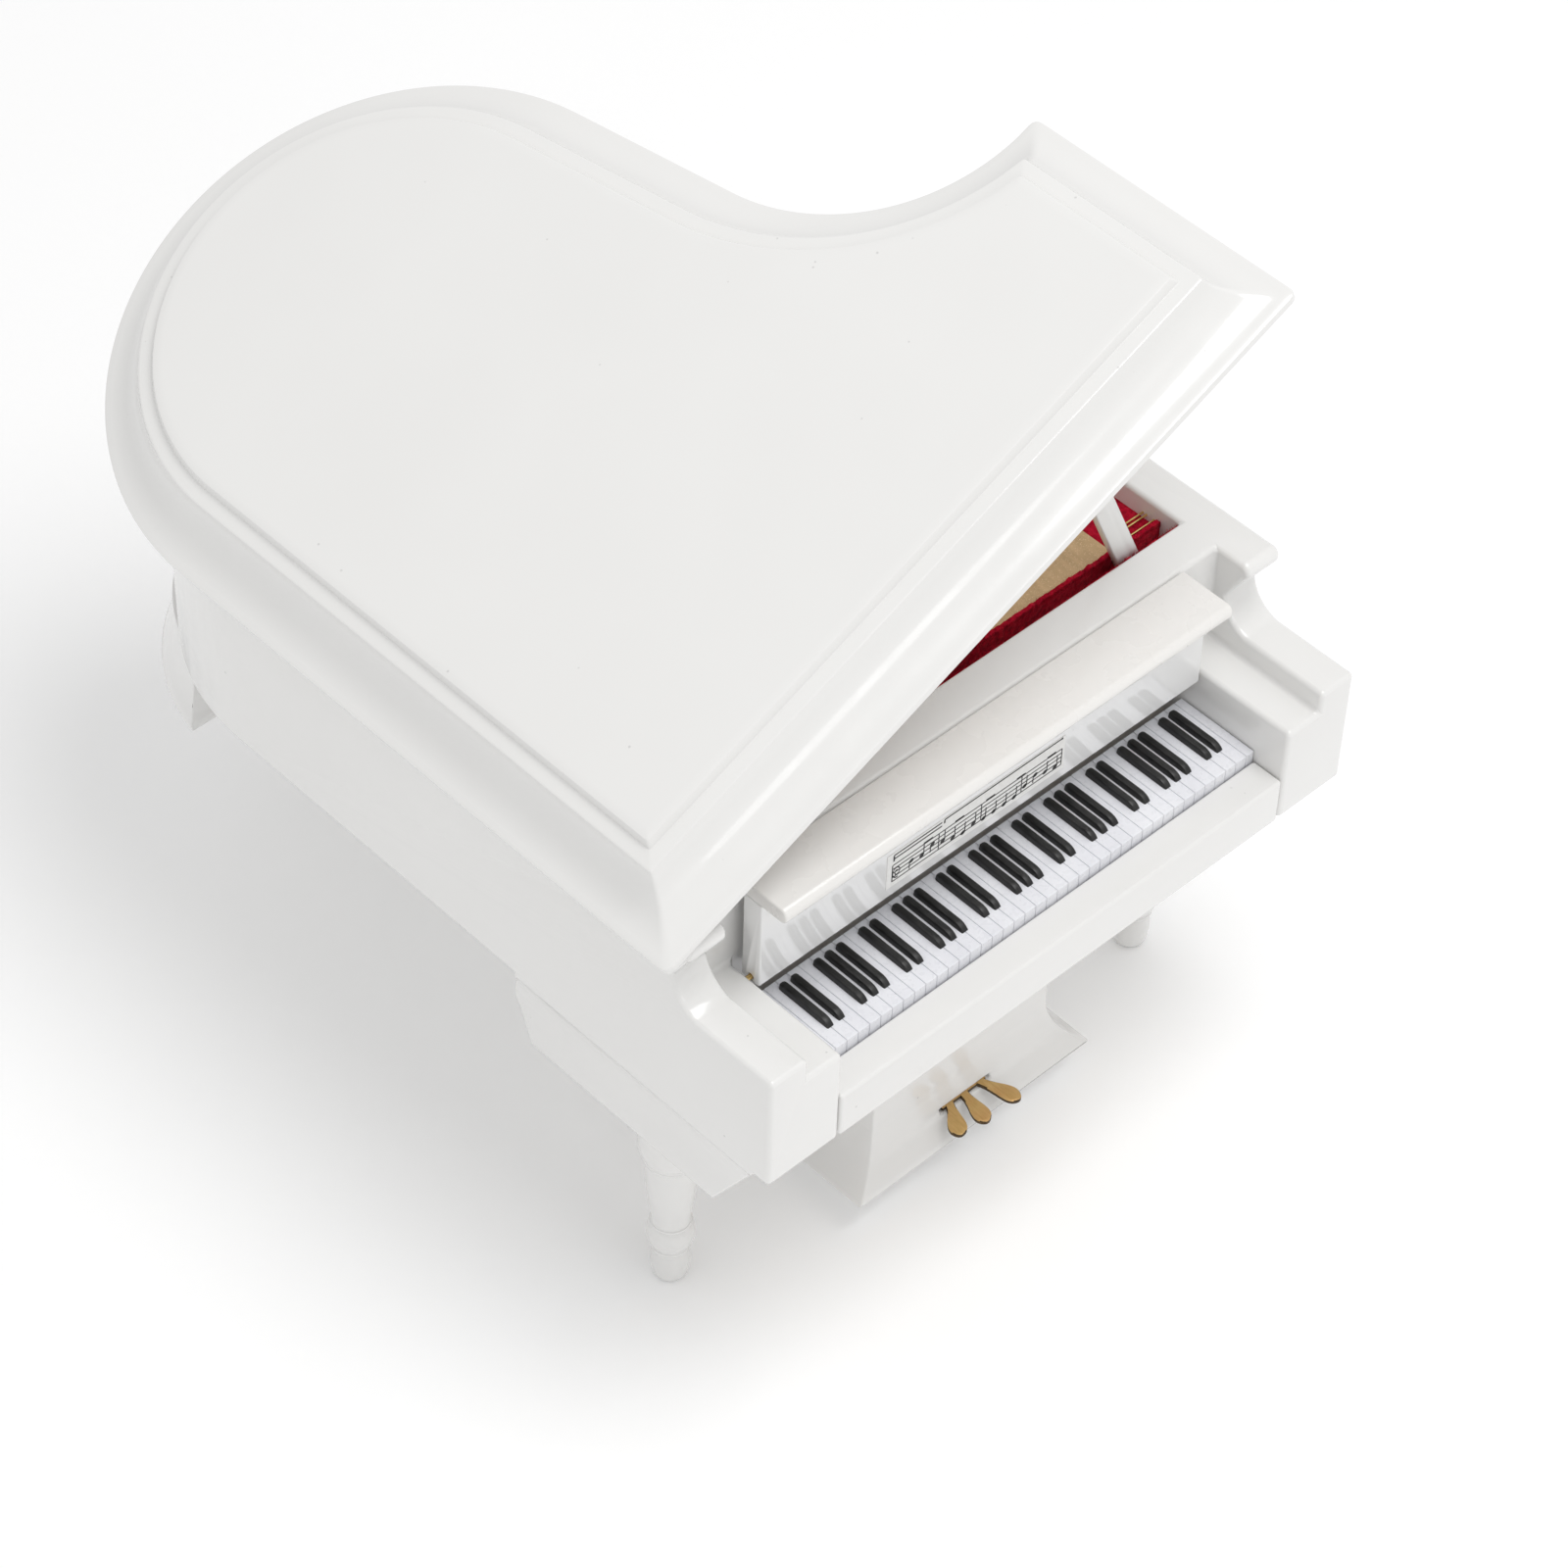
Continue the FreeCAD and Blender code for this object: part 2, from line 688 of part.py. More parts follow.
def make_strings():
    strings, pins = [], []
    for number, x in enumerate(STRING_XS):
        height = D.bridge_top + D.string_radius
        long = string_reach(x) - D.string_front.number
        string = primitive("Cylinder", f"string_{number}", x, D.string_front, height,
                           Radius=D.string_radius, Height=long)
        lie_along(string, "y")
        strings.append(string)
        pins.append(primitive("Cylinder", f"tuning_pin_{number}", x, D.pin_row, D.plate_top,
                              Radius=D.pin_radius, Height=D.pin_top - D.plate_top))
    gather("Compound", "long_strings", strings)
    gather("Compound", "tuning_pins", pins)
    wires = []
    for number, y in enumerate(WIRE_YS):
        wire = primitive("Cylinder", f"wire_{number}", D.plate_right + D.wire_gap, y, D.wire_height,
                         Radius=D.wire_radius, Height=INNER - D.plate_right - D.wire_gap)
        lie_along(wire, "x")
        wires.append(wire)
    gather("Compound", "treble_wires", wires)


# ---------------------------------------------------------------- fallboard


def make_fallboard():
    panel = box("fallboard_panel", (-D.board_half, D.board_half), (D.board_front, D.board_back),
                (D.board_bottom, D.board_top))
    for low, high in (
        (-D.board_half, -D.board_half + D.board_pin_reach),
        (D.board_half - D.board_pin_reach, D.board_half),
    ):
        bore(panel, "YZ", D.board_pivot_y, D.board_pivot_z, D.board_bore_radius, low, high)
    lip = box("fallboard_lip", (-D.board_half, D.board_half), (D.lip_front, D.lip_back),
              (D.board_top, D.lip_top))
    front, half = D.lip_front.number, D.board_half.number
    round_edges(lip, D.lip_round, lambda middle, edge: abs(middle.y - front) < TOUCH and edge.Length > half)
    box("music_sheet", (D.sheet_left, D.sheet_right), (D.board_front - D.sheet_thick, D.board_front),
        (D.sheet_bottom, D.sheet_top))
    reach = D.board_pin_reach - D.key_gap
    for name, low, high in (
        ("left_fallboard_pin", -D.key_half - D.board_pin_reach, -D.board_half + reach),
        ("right_fallboard_pin", D.board_half - reach, D.key_half + D.board_pin_reach),
    ):
        pin = new_body(name)
        pad_circle(pin, "YZ", D.board_pivot_y, D.board_pivot_z, D.board_pin_radius, low, high)


# ---------------------------------------------------------------- lid, hinges and prop


def lid_body(name):
    """A body drawn with the lid closed, about the hinge axis, and turned open with the lid."""
    return new_body(name, D.hinge_x, 0, D.hinge_z, -D.lid_angle)


def make_lid():
    lid = lid_body("lid")
    under = D.lid_under - D.hinge_z
    edge_top = under + D.lid_edge
    slope_top = edge_top + D.lid_slope
    pad_wing(lid, LID_PLAN, under, edge_top, front=D.lid_front)
    slope = pad_wing(lid, LID_PLAN, edge_top, slope_top, front=D.lid_front)
    slope.setExpression("TaperAngle", (-D.lid_slope_angle).text)
    pad_wing(lid, LID_PLAN, slope_top, slope_top + D.lid_field,
             front=D.lid_front + D.lid_field_inset, inset=D.lid_field_inset)
    rest = lid_body("prop_rest_block")
    pad(rest, "XY", rectangle(D.rest_start, D.rest_start + D.rest_long, D.rest_front, D.rest_back),
        under - D.rest_deep, under)


def make_hinge(name, start):
    """A butt hinge: two end knuckles on the rim's leaf, one middle knuckle on the lid's leaf."""
    end = start + D.hinge_long
    middle = (start + D.hinge_end_knuckle, end - D.hinge_end_knuckle)
    rim_top = D.case_top - D.hinge_z
    under = D.lid_under - D.hinge_z

    def leaf(body, low, high, web_left, sections):
        pad(body, "XZ", rectangle(web_left, D.leaf_reach, low, high), start, end)
        for first, last in sections:
            pad_circle(body, "XZ", 0, 0, D.knuckle_radius, first, last)
            pad(body, "XZ", rectangle(web_left, web_left + D.hinge_web, D.hinge_web_low, high), first, last)
        bore_radius = D.hinge_pin_radius if len(sections) == 2 else D.hinge_bore_radius
        bore(body, "XZ", 0, 0, bore_radius, start, end)

    rim_leaf = new_body(f"{name}_rim_leaf", D.hinge_x, 0, D.hinge_z)
    leaf(rim_leaf, rim_top, rim_top + D.leaf_thick, D.rim_leaf_left, ((start, middle[0]), (middle[1], end)))
    lid_leaf = lid_body(f"{name}_lid_leaf")
    leaf(lid_leaf, under - D.leaf_thick, under, D.lid_leaf_left,
         ((middle[0] + D.hinge_gap, middle[1] - D.hinge_gap),))
    pin = new_body(f"{name}_pin", D.hinge_x, 0, D.hinge_z)
    pad_circle(pin, "XZ", 0, 0, D.hinge_pin_radius, start, end)


def make_prop():
    prop = new_body("prop_stick", D.prop_x, D.prop_front, D.prop_z, -D.lid_angle)
    half = D.prop_half
    tip = D.prop_long - half
    outline = [
        (-half, 0),
        Via(0, -half),
        (half, 0),
        (half, tip),
        Via(0, D.prop_long),
        (-half, tip),
    ]
    pad(prop, "XZ", outline, 0, D.prop_thick)
    bore(prop, "XZ", 0, 0, D.prop_bore_radius, 0, D.prop_thick)
    pin = new_body("prop_pin")
    pad_circle(pin, "XZ", D.prop_x, D.prop_z, D.prop_pin_radius,
               D.rail_back - D.prop_pin_depth, D.trough_back)


# ---------------------------------------------------------------- legs and pedals


def make_leg_blocks():
    """Bracket-shaped blocks with sloping ends and a long cove in their outer faces."""
    low = -D.leg_block_drop
    outline = [
        (D.leg_block_front, 0),
        (D.leg_block_front_low, low),
        (D.leg_block_back_low, low),
        (D.leg_block_chin, -D.leg_block_chin_drop),
        Via(D.leg_block_nose, -D.leg_block_nose_drop),
        (D.leg_block_neck, -D.leg_block_neck_drop),
        (D.leg_block_back, 0),
    ]
    cove_top, cove_low = -D.leg_block_quirk, low + D.leg_block_lip
    cove_middle = (cove_top + cove_low) * 0.5
    for name, side in (("left_leg_block", -1), ("right_leg_block", 1)):
        block = new_body(name)
        limits = sorted((D.leg_block_inner * side, D.case_half * side), key=lambda limit: limit.number)
        pad(block, "YZ", outline, *limits)
        cove = [
            (D.case_half * side, cove_top),
            Via((D.case_half - D.leg_block_cove) * side, cove_middle),
            (D.case_half * side, cove_low),
            ((D.case_half + CLEAR) * side, cove_low),
            ((D.case_half + CLEAR) * side, cove_top),
        ]
        pocket(block, "XZ", cove, 0, D.treble_end + D.leg_block_nose_drop)
        bore(block, "XY", D.leg_x * side, D.leg_y, D.dowel_radius, low, low + D.dowel_long)


def make_tail_block():
    """The D-shaped block under the tail: a flat front, and a round back that flares to its lower lip."""
    block = new_body("tail_leg_block", D.tail_block_x, D.tail_block_y, 0)
    low, radius = -D.leg_block_drop, D.tail_block_radius
    chord = D.tail_block_front - D.tail_block_y
    reach = math.sqrt(radius.number ** 2 - chord.number ** 2)
    pad(block, "XY", [(-reach, chord), (reach, chord), Via(0, radius)], low, 0)
    lip_top = low + D.leg_block_lip
    turned(block, "Groove", [
        (radius - D.tail_block_cove, 0),
        Via(radius - D.tail_block_cove_middle, low * 0.5),
        (radius, lip_top),
        (radius + CLEAR, lip_top),
        (radius + CLEAR, 0),
    ])
    front_cove = [
        (chord - CLEAR, 0),
        (chord - CLEAR, lip_top),
        (chord, lip_top),
        Via(chord + D.tail_block_cove_middle, low * 0.5),
        (chord + D.tail_block_cove, 0),
    ]
    pocket(block, "YZ", front_cove, -radius - CLEAR, radius + CLEAR)
    bore(block, "XY", D.tail_leg_x - D.tail_block_x, D.tail_leg_y - D.tail_block_y, D.dowel_radius,
         low, low + D.dowel_long)


def make_leg(name, x, y):
    leg = new_body(name, x, y, 0)
    collar = LEG_PROFILE[-1][0]
    top = -D.leg_block_drop
    outline = [(0, LEG_PROFILE[0][1])] + LEG_PROFILE + [
        (collar, top),
        (D.dowel_radius, top),
        (D.dowel_radius, top + D.dowel_long),
        (0, top + D.dowel_long),
    ]
    turned(leg, "Revolution", outline)


def pedal_outline():
    """Three tongues that fan out from one strip, seen from above."""
    points = [(D.pedal_half, D.pedal_back), (-D.pedal_half, D.pedal_back), (-D.pedal_half, PEDAL_ROOT_Y)]
    for root, end_x, end_y in PEDALS:
        long = math.hypot(end_x - root, end_y - PEDAL_ROOT_Y)
        across = PEDAL_END_RADIUS * (end_x - root) / long
        along = PEDAL_END_RADIUS * (end_y - PEDAL_ROOT_Y) / long
        points += [
            (root - PEDAL_ROOT_HALF, PEDAL_ROOT_Y),
            (end_x + along, end_y - across),
            Via(end_x + across, end_y + along),
            (end_x - along, end_y + across),
            (root + PEDAL_ROOT_HALF, PEDAL_ROOT_Y),
        ]
    return points + [(D.pedal_half, PEDAL_ROOT_Y)]


def make_lyre():
    lyre = new_body("lyre_box")
    pad(lyre, "XY", rectangle(-D.lyre_half, D.lyre_half, D.lyre_front, D.lyre_back), D.lyre_base_top, 0)
    cove_height = D.lyre_bottom + D.lyre_cove_rise
    flare = [
        (-D.lyre_base_half, D.lyre_bottom),
        (D.lyre_base_half, D.lyre_bottom),
        Via(D.lyre_half + D.lyre_side_cove, cove_height),
        (D.lyre_half, D.lyre_base_top),
        (-D.lyre_half, D.lyre_base_top),
        Via(-D.lyre_half - D.lyre_side_cove, cove_height),
    ]
    pad(lyre, "XZ", flare, D.lyre_base_front, D.lyre_back)
    front_cove = [
        (D.lyre_base_front - CLEAR, D.lyre_bottom),
        (D.lyre_base_front, D.lyre_bottom),
        Via(D.lyre_base_front + D.lyre_front_cove, cove_height),
        (D.lyre_front, D.lyre_base_top),
        (D.lyre_base_front - CLEAR, D.lyre_base_top),
    ]
    pocket(lyre, "YZ", front_cove, -D.lyre_base_half - CLEAR, D.lyre_base_half + CLEAR)
    pedal_bottom = D.pedal_top - D.pedal_thick
    slot = rectangle(-D.pedal_half - CLEAR, D.pedal_half + CLEAR, D.lyre_base_front - CLEAR, D.pedal_back)
    pocket(lyre, "XY", slot, pedal_bottom, D.pedal_top)
    pedals = new_body("pedal_plate")
    pad(pedals, "XY", pedal_outline(), pedal_bottom, D.pedal_top)


# ---------------------------------------------------------------- build, test and write


def check_document():
    """Stops the build if any object failed or any node's shape is empty or broken."""
    for item in doc.Objects:
        if "Invalid" in item.State or "Error" in item.State:
            raise RuntimeError(f"{item.Name} failed: {item.State}")
    for part in parts:
        if part.Shape.isNull() or not part.Shape.isValid() or part.Shape.Volume <= 0:
            raise RuntimeError(f"{part.Label} has no valid shape")


def main():
    fill_sheet()
    make_case()
    make_keyboard()
    make_interior()
    make_fallboard()
    make_lid()
    make_hinge("front_hinge", D.front_hinge_y)
    make_hinge("rear_hinge", D.rear_hinge_y)
    make_prop()
    make_leg_blocks()
    make_tail_block()
    make_leg("front_left_leg", -D.leg_x, D.leg_y)
    make_leg("front_right_leg", D.leg_x, D.leg_y)
    make_leg("tail_leg", D.tail_leg_x, D.tail_leg_y)
    make_lyre()
    doc.recompute()
    check_document()
    os.makedirs("parts", exist_ok=True)
    for part in parts:
        part.Shape.exportStep(f"parts/{part.Label}.step")
    whole = Part.makeCompound([part.Shape for part in parts]).optimalBoundingBox()
    print(len(parts), "nodes", whole)


main()
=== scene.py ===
import math
import random

import bmesh
import bpy
from mathutils import Matrix, Vector, noise
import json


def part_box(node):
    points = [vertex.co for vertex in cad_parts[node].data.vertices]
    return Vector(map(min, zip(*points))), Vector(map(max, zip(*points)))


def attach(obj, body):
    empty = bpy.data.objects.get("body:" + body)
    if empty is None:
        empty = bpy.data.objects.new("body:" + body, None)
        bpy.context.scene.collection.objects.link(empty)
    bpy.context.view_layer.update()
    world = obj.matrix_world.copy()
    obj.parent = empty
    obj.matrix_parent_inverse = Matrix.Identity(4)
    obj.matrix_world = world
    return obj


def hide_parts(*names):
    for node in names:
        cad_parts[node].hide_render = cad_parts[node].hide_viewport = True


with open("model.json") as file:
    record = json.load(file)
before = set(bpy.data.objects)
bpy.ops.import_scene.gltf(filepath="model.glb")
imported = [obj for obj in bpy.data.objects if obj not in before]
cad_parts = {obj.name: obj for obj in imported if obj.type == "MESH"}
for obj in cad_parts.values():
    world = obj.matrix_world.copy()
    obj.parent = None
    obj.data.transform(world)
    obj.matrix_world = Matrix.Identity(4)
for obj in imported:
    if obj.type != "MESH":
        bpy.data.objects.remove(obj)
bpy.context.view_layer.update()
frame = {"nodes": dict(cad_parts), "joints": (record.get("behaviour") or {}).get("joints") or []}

# Looks for a miniature grand piano. Every length is in metres in the CAD frame. Places that the
# keyboard, case and lid share with the CAD come from its nodes' boxes and joints.

MM = 0.001
JOINTS = {joint["name"]: joint for joint in frame["joints"]}
SEED = 7


# ---------------------------------------------------------------- places read from the frame


def low(node):
    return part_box(node)[0]


def high(node):
    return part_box(node)[1]


SPINE_LOW, SPINE_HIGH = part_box("spine_side")
TREBLE_HIGH = high("treble_side")
CENTRE_X = (SPINE_LOW.x + TREBLE_HIGH.x) / 2
CASE_FRONT = SPINE_LOW.y
CASE_BOTTOM = SPINE_LOW.z


def at(x, y, z):
    """A point given in millimetres from the middle of the case's front lower edge."""
    return Vector((CENTRE_X + x * MM, CASE_FRONT + y * MM, CASE_BOTTOM + z * MM))


# ---------------------------------------------------------------- materials


class Nodes:
    """A small helper for a material's node tree."""

    def __init__(self, name):
        self.material = bpy.data.materials.new(name)
        self.material.use_nodes = True
        self.tree = self.material.node_tree
        self.shader = self.tree.nodes["Principled BSDF"]
        self.place = self.add("ShaderNodeTexCoord").outputs["Object"]

    def add(self, kind, **values):
        node = self.tree.nodes.new(kind)
        for key, value in values.items():
            if hasattr(node, key):
                setattr(node, key, value)
            else:
                node.inputs[key.replace("_", " ")].default_value = value
        return node

    def link(self, source, target):
        self.tree.links.new(source, target)

    def noise(self, scale, detail=2.0, roughness=0.5, stretch=None):
        node = self.add("ShaderNodeTexNoise", Scale=scale, Detail=detail, Roughness=roughness)
        source = self.place
        if stretch is not None:
            mapping = self.add("ShaderNodeMapping", Scale=stretch)
            self.link(self.place, mapping.inputs["Vector"])
            source = mapping.outputs["Vector"]
        self.link(source, node.inputs["Vector"])
        return node.outputs["Fac"]

    def ramp(self, source, stops):
        node = self.add("ShaderNodeValToRGB")
        elements = node.color_ramp.elements
        while len(elements) < len(stops):
            elements.new(0.5)
        for element, (position, colour) in zip(elements, stops):
            element.position = position
            element.color = (*colour, 1.0)
        self.link(source, node.inputs["Fac"])
        return node.outputs["Color"]

    def between(self, source, low_value, high_value, start=0.35, end=0.65):
        node = self.add("ShaderNodeMapRange")
        limits = {"From Min": start, "From Max": end, "To Min": low_value, "To Max": high_value}
        for name, value in limits.items():
            node.inputs[name].default_value = value
        self.link(source, node.inputs["Value"])
        return node.outputs["Result"]

    def mix(self, factor, a, b):
        node = self.add("ShaderNodeMix", data_type="RGBA")
        for name, value in (("Factor_Float", factor), ("A_Color", a), ("B_Color", b)):
            socket = next(s for s in node.inputs if s.identifier == name)
            if isinstance(value, bpy.types.NodeSocket):
                self.link(value, socket)
            else:
                socket.default_value = value if name == "Factor_Float" else (*value, 1.0)
        return next(s for s in node.outputs if s.identifier == "Result_Color")

    def colour(self, source, stops):
        """The base colour as a ramp over a texture."""
        self.link(self.ramp(source, stops), self.shader.inputs["Base Color"])

    def bump(self, heights):
        """Chains bumps, given as (height, strength, distance in metres)."""
        normal = None
        for height, strength, distance in heights:
            node = self.add("ShaderNodeBump", Strength=strength, Distance=distance)
            self.link(height, node.inputs["Height"])
            if normal is not None:
                self.link(normal, node.inputs["Normal"])
            normal = node.outputs["Normal"]
        self.link(normal, self.shader.inputs["Normal"])

    def set(self, **values):
        for key, value in values.items():
            self.shader.inputs[key.replace("_", " ")].default_value = value


def specks(nodes, scale, size, threshold_noise_scale):
    """A mask of small scattered dots."""
    cells = nodes.add("ShaderNodeTexVoronoi", Scale=scale)
    nodes.link(nodes.place, cells.inputs["Vector"])
    dots = nodes.between(cells.outputs["Distance"], 1.0, 0.0, size * 0.6, size)
    gate = nodes.between(nodes.noise(threshold_noise_scale, 0.0), 0.0, 1.0, 0.70, 0.74)
    both = nodes.add("ShaderNodeMath", operation="MULTIPLY")
    nodes.link(dots, both.inputs[0])
    nodes.link(gate, both.inputs[1])
    return both.outputs["Value"]


def lacquer(name, pale, shade, roughness=0.2, coat=0.45):
    """White lacquer over wood: faint tone changes, dust specks under the coat, a soft orange-peel skin."""
    n = Nodes(name)
    base = n.ramp(n.noise(38.0, 3.0), [(0.3, shade), (0.7, pale)])
    dust = specks(n, 330.0, 0.09, 240.0)
    colour = n.mix(dust, base, tuple(c * 0.8 for c in pale))
    n.link(colour, n.shader.inputs["Base Color"])
    n.link(n.between(n.noise(160.0, 4.0), roughness * 0.75, roughness * 1.35), n.shader.inputs["Roughness"])
    n.set(Coat_Weight=coat, Coat_Roughness=0.06, IOR=1.5)
    n.bump([(n.noise(700.0, 1.0), 0.06, 0.00005), (n.noise(60.0, 1.0), 0.04, 0.0002), (dust, 0.4, 0.00004)])
    return n.material


def key_plastic():
    """Cool white moulded plastic."""
    n = Nodes("key_plastic")
    n.colour(n.noise(120.0, 3.0), [(0.3, (0.78, 0.785, 0.83)), (0.7, (0.86, 0.865, 0.90))])
    n.link(n.between(n.noise(900.0, 3.0), 0.22, 0.42), n.shader.inputs["Roughness"])
    n.set(Coat_Weight=0.25, Coat_Roughness=0.15)
    n.bump([(n.noise(1500.0, 2.0), 0.15, 0.00003)])
    return n.material


def sharp_plastic():
    """Black moulded plastic with fine tool marks along its length."""
    n = Nodes("sharp_plastic")
    marks = n.noise(500.0, 4.0, 0.6, stretch=(2.5, 0.6, 1.0))
    n.colour(marks, [(0.3, (0.004, 0.004, 0.004)), (0.75, (0.021, 0.020, 0.019))])
    n.link(n.between(marks, 0.28, 0.55), n.shader.inputs["Roughness"])
    n.bump([(marks, 0.5, 0.00012), (n.noise(3000.0, 2.0), 0.2, 0.00003)])
    return n.material


def velvet():
    """Deep red pile in small clumps, with a pale sheen at grazing angles."""
    n = Nodes("red_velvet")
    clumps = n.noise(900.0, 4.0, 0.65)
    broad = n.noise(110.0, 2.0)
    reds = [(0.3, (0.20, 0.0, 0.012)), (0.55, (0.52, 0.004, 0.026)), (0.8, (0.78, 0.03, 0.07))]
    pile = n.mix(n.between(broad, 0.0, 0.45), n.ramp(clumps, reds), (0.34, 0.0, 0.02))
    n.link(pile, n.shader.inputs["Base Color"])
    n.set(Roughness=0.95, Specular_IOR_Level=0.15, Sheen_Weight=0.6, Sheen_Roughness=0.35)
    n.shader.inputs["Sheen Tint"].default_value = (0.95, 0.12, 0.14, 1.0)
    n.bump([(clumps, 0.9, 0.0004), (n.noise(4200.0, 2.0), 0.6, 0.0001)])
    return n.material


def gilt():
    """Flat gold-bronze paint on card: fine fibres and tiny metal flakes."""
    n = Nodes("gilt_plate")
    fibre = n.noise(700.0, 5.0, 0.65, stretch=(1.0, 0.25, 1.0))
    base = n.ramp(fibre, [(0.3, (0.50, 0.33, 0.16)), (0.7, (0.66, 0.46, 0.25))])
    flakes = n.between(n.noise(5200.0, 1.0), 0.0, 1.0, 0.6, 0.75)
    n.link(n.mix(flakes, base, (0.82, 0.62, 0.38)), n.shader.inputs["Base Color"])
    n.link(n.between(fibre, 0.38, 0.6), n.shader.inputs["Roughness"])
    n.set(Metallic=0.25)
    n.bump([(fibre, 0.3, 0.00008)])
    return n.material


def bright_metal(name, dark, pale, roughness=0.24):
    """Bare metal with fine streaks."""
    n = Nodes(name)
    streaks = n.noise(420.0, 4.0, 0.6, stretch=(1.0, 8.0, 1.0))
    n.colour(streaks, [(0.3, dark), (0.7, pale)])
    n.link(n.between(streaks, roughness * 0.7, roughness * 1.6), n.shader.inputs["Roughness"])
    n.set(Metallic=1.0)
    n.bump([(streaks, 0.18, 0.00004)])
    return n.material


def wood(name, dark, pale):
    """Raw wood: long grain over slow year rings."""
    n = Nodes(name)
    grain = n.noise(220.0, 6.0, 0.6, stretch=(1.0, 0.08, 1.0))
    rings = n.add("ShaderNodeTexWave", Scale=55.0, Distortion=6.0, Detail=3.0)
    n.link(n.place, rings.inputs["Vector"])
    base = n.ramp(grain, [(0.3, dark), (0.7, pale)])
    n.link(n.mix(n.between(rings.outputs["Fac"], 0.0, 0.35), base, dark), n.shader.inputs["Base Color"])
    n.link(n.between(grain, 0.5, 0.75), n.shader.inputs["Roughness"])
    n.bump([(grain, 0.35, 0.00012)])
    return n.material


def paper():
    """Off-white paper with a fine fibre."""
    n = Nodes("printed_paper")
    fibre = n.noise(1400.0, 4.0, 0.6)
    n.colour(fibre, [(0.3, (0.80, 0.79, 0.77)), (0.7, (0.88, 0.875, 0.86))])
    n.link(n.between(fibre, 0.55, 0.75), n.shader.inputs["Roughness"])
    n.bump([(fibre, 0.2, 0.00002)])
    return n.material


def ink():
    """Black ink that covers unevenly."""
    n = Nodes("printing_ink")
    patch = n.noise(2200.0, 3.0)
    n.colour(patch, [(0.3, (0.010, 0.010, 0.012)), (0.7, (0.045, 0.043, 0.04))])
    n.link(n.between(patch, 0.5, 0.7), n.shader.inputs["Roughness"])
    return n.material


def shaded_brass():
    """Near-black brass that make_pedals puts on every pedal face that does not look up: painted shade."""
    n = Nodes("brass_painted_shade")
    patch = n.noise(900.0, 3.0)
    n.colour(patch, [(0.3, (0.035, 0.020, 0.008)), (0.7, (0.10, 0.06, 0.02))])
    n.set(Metallic=0.5, Roughness=0.5)
    return n.material


def pedal_brass():
    """Pressed brass sheet with a fine satin scratch and warmer patches."""
    n = Nodes("pedal_brass")
    scratch = n.noise(900.0, 5.0, 0.65, stretch=(3.0, 0.4, 1.0))
    base = n.ramp(scratch, [(0.3, (0.52, 0.33, 0.11)), (0.7, (0.70, 0.48, 0.20))])
    warm = n.mix(n.between(n.noise(260.0, 2.0), 0.0, 0.5), base, (0.60, 0.33, 0.14))
    n.link(warm, n.shader.inputs["Base Color"])
    n.link(n.between(scratch, 0.34, 0.52), n.shader.inputs["Roughness"])
    n.set(Metallic=0.45)
    n.bump([(scratch, 0.25, 0.00005)])
    return n.material


WHITE = lacquer("white_lacquer", (0.815, 0.81, 0.796), (0.803, 0.797, 0.783))
# The fallboard panel's white lacquer: glossier, and lighter than the case's white to make up for the light
# the panel lacks, which is painted light
GLOSS_PAINTED_LIGHT = lacquer("gloss_lacquer_painted_light", (0.89, 0.89, 0.885), (0.88, 0.88, 0.875), roughness=0.08, coat=0.6)
IVORY = lacquer("ivory_lacquer", (0.825, 0.811, 0.787), (0.82, 0.805, 0.78), roughness=0.26, coat=0.3)
KEY = key_plastic()
SHARP = sharp_plastic()
VELVET = velvet()
GILT = gilt()
BRASS = bright_metal("brass", (0.50, 0.33, 0.11), (0.78, 0.58, 0.26))
GOLD_WIRE = bright_metal("gold_wire", (0.62, 0.42, 0.14), (0.90, 0.68, 0.30), 0.18)
BARE_WOOD = wood("bare_wood", (0.40, 0.27, 0.14), (0.62, 0.46, 0.28))
DARK_WOOD = wood("dark_wood", (0.055, 0.028, 0.014), (0.15, 0.085, 0.045))
PEDAL_BRASS = pedal_brass()
BRASS_PAINTED_SHADE = shaded_brass()
PAPER = paper()
INK = ink()


def paint(item, *materials):
    item.data.materials.clear()
    for material in materials:
        item.data.materials.append(material)
    return item


# ---------------------------------------------------------------- mesh helpers


# Edges that turn by more than this many degrees get rounded
BEVEL_ANGLE = 50.0


def new_piece(name, mesh_data, material, body, slot, *replaced):
    """Turns a bmesh into a finished piece on a body."""
    mesh = bpy.data.meshes.new(name)
    bmesh.ops.recalc_face_normals(mesh_data, faces=mesh_data.faces)
    mesh_data.to_mesh(mesh)
    mesh_data.free()
    item = bpy.data.objects.new(name, mesh)
    bpy.context.scene.collection.objects.link(item)
    paint(item, material)
    if replaced:
        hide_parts(*replaced)
    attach(item, body)
    return item


def smooth(item, angle):
    """Smooth shading, broken at sharp edges."""
    mesh = item.data
    mesh.polygons.foreach_set("use_smooth", [True] * len(mesh.polygons))
    edit = bmesh.new()
    edit.from_mesh(mesh)
    limit = math.radians(angle)
    for edge in edit.edges:
        if len(edge.link_faces) == 2:
            edge.smooth = edge.calc_face_angle(0.0) < limit
    edit.to_mesh(mesh)
    edit.free()
    return item


def bevel(item, width, segments=3):
    """Rounds the sharp edges and keeps the flat faces flat."""
    modifier = item.modifiers.new("rounded_edges", "BEVEL")
    modifier.width = width
    modifier.segments = segments
    modifier.limit_method = "ANGLE"
    modifier.angle_limit = math.radians(BEVEL_ANGLE)
    modifier.harden_normals = True
    modifier.use_clamp_overlap = False
    item.data.polygons.foreach_set("use_smooth", [True] * len(item.data.polygons))
    return item


def node_mesh(*nodes):
    """The CAD nodes' faces as one bmesh, with coincident corners merged."""
    made = bmesh.new()
    for node in nodes:
        made.from_mesh(frame["nodes"][node].data)
    bmesh.ops.remove_doubles(made, verts=made.verts, dist=1e-6)
    return made


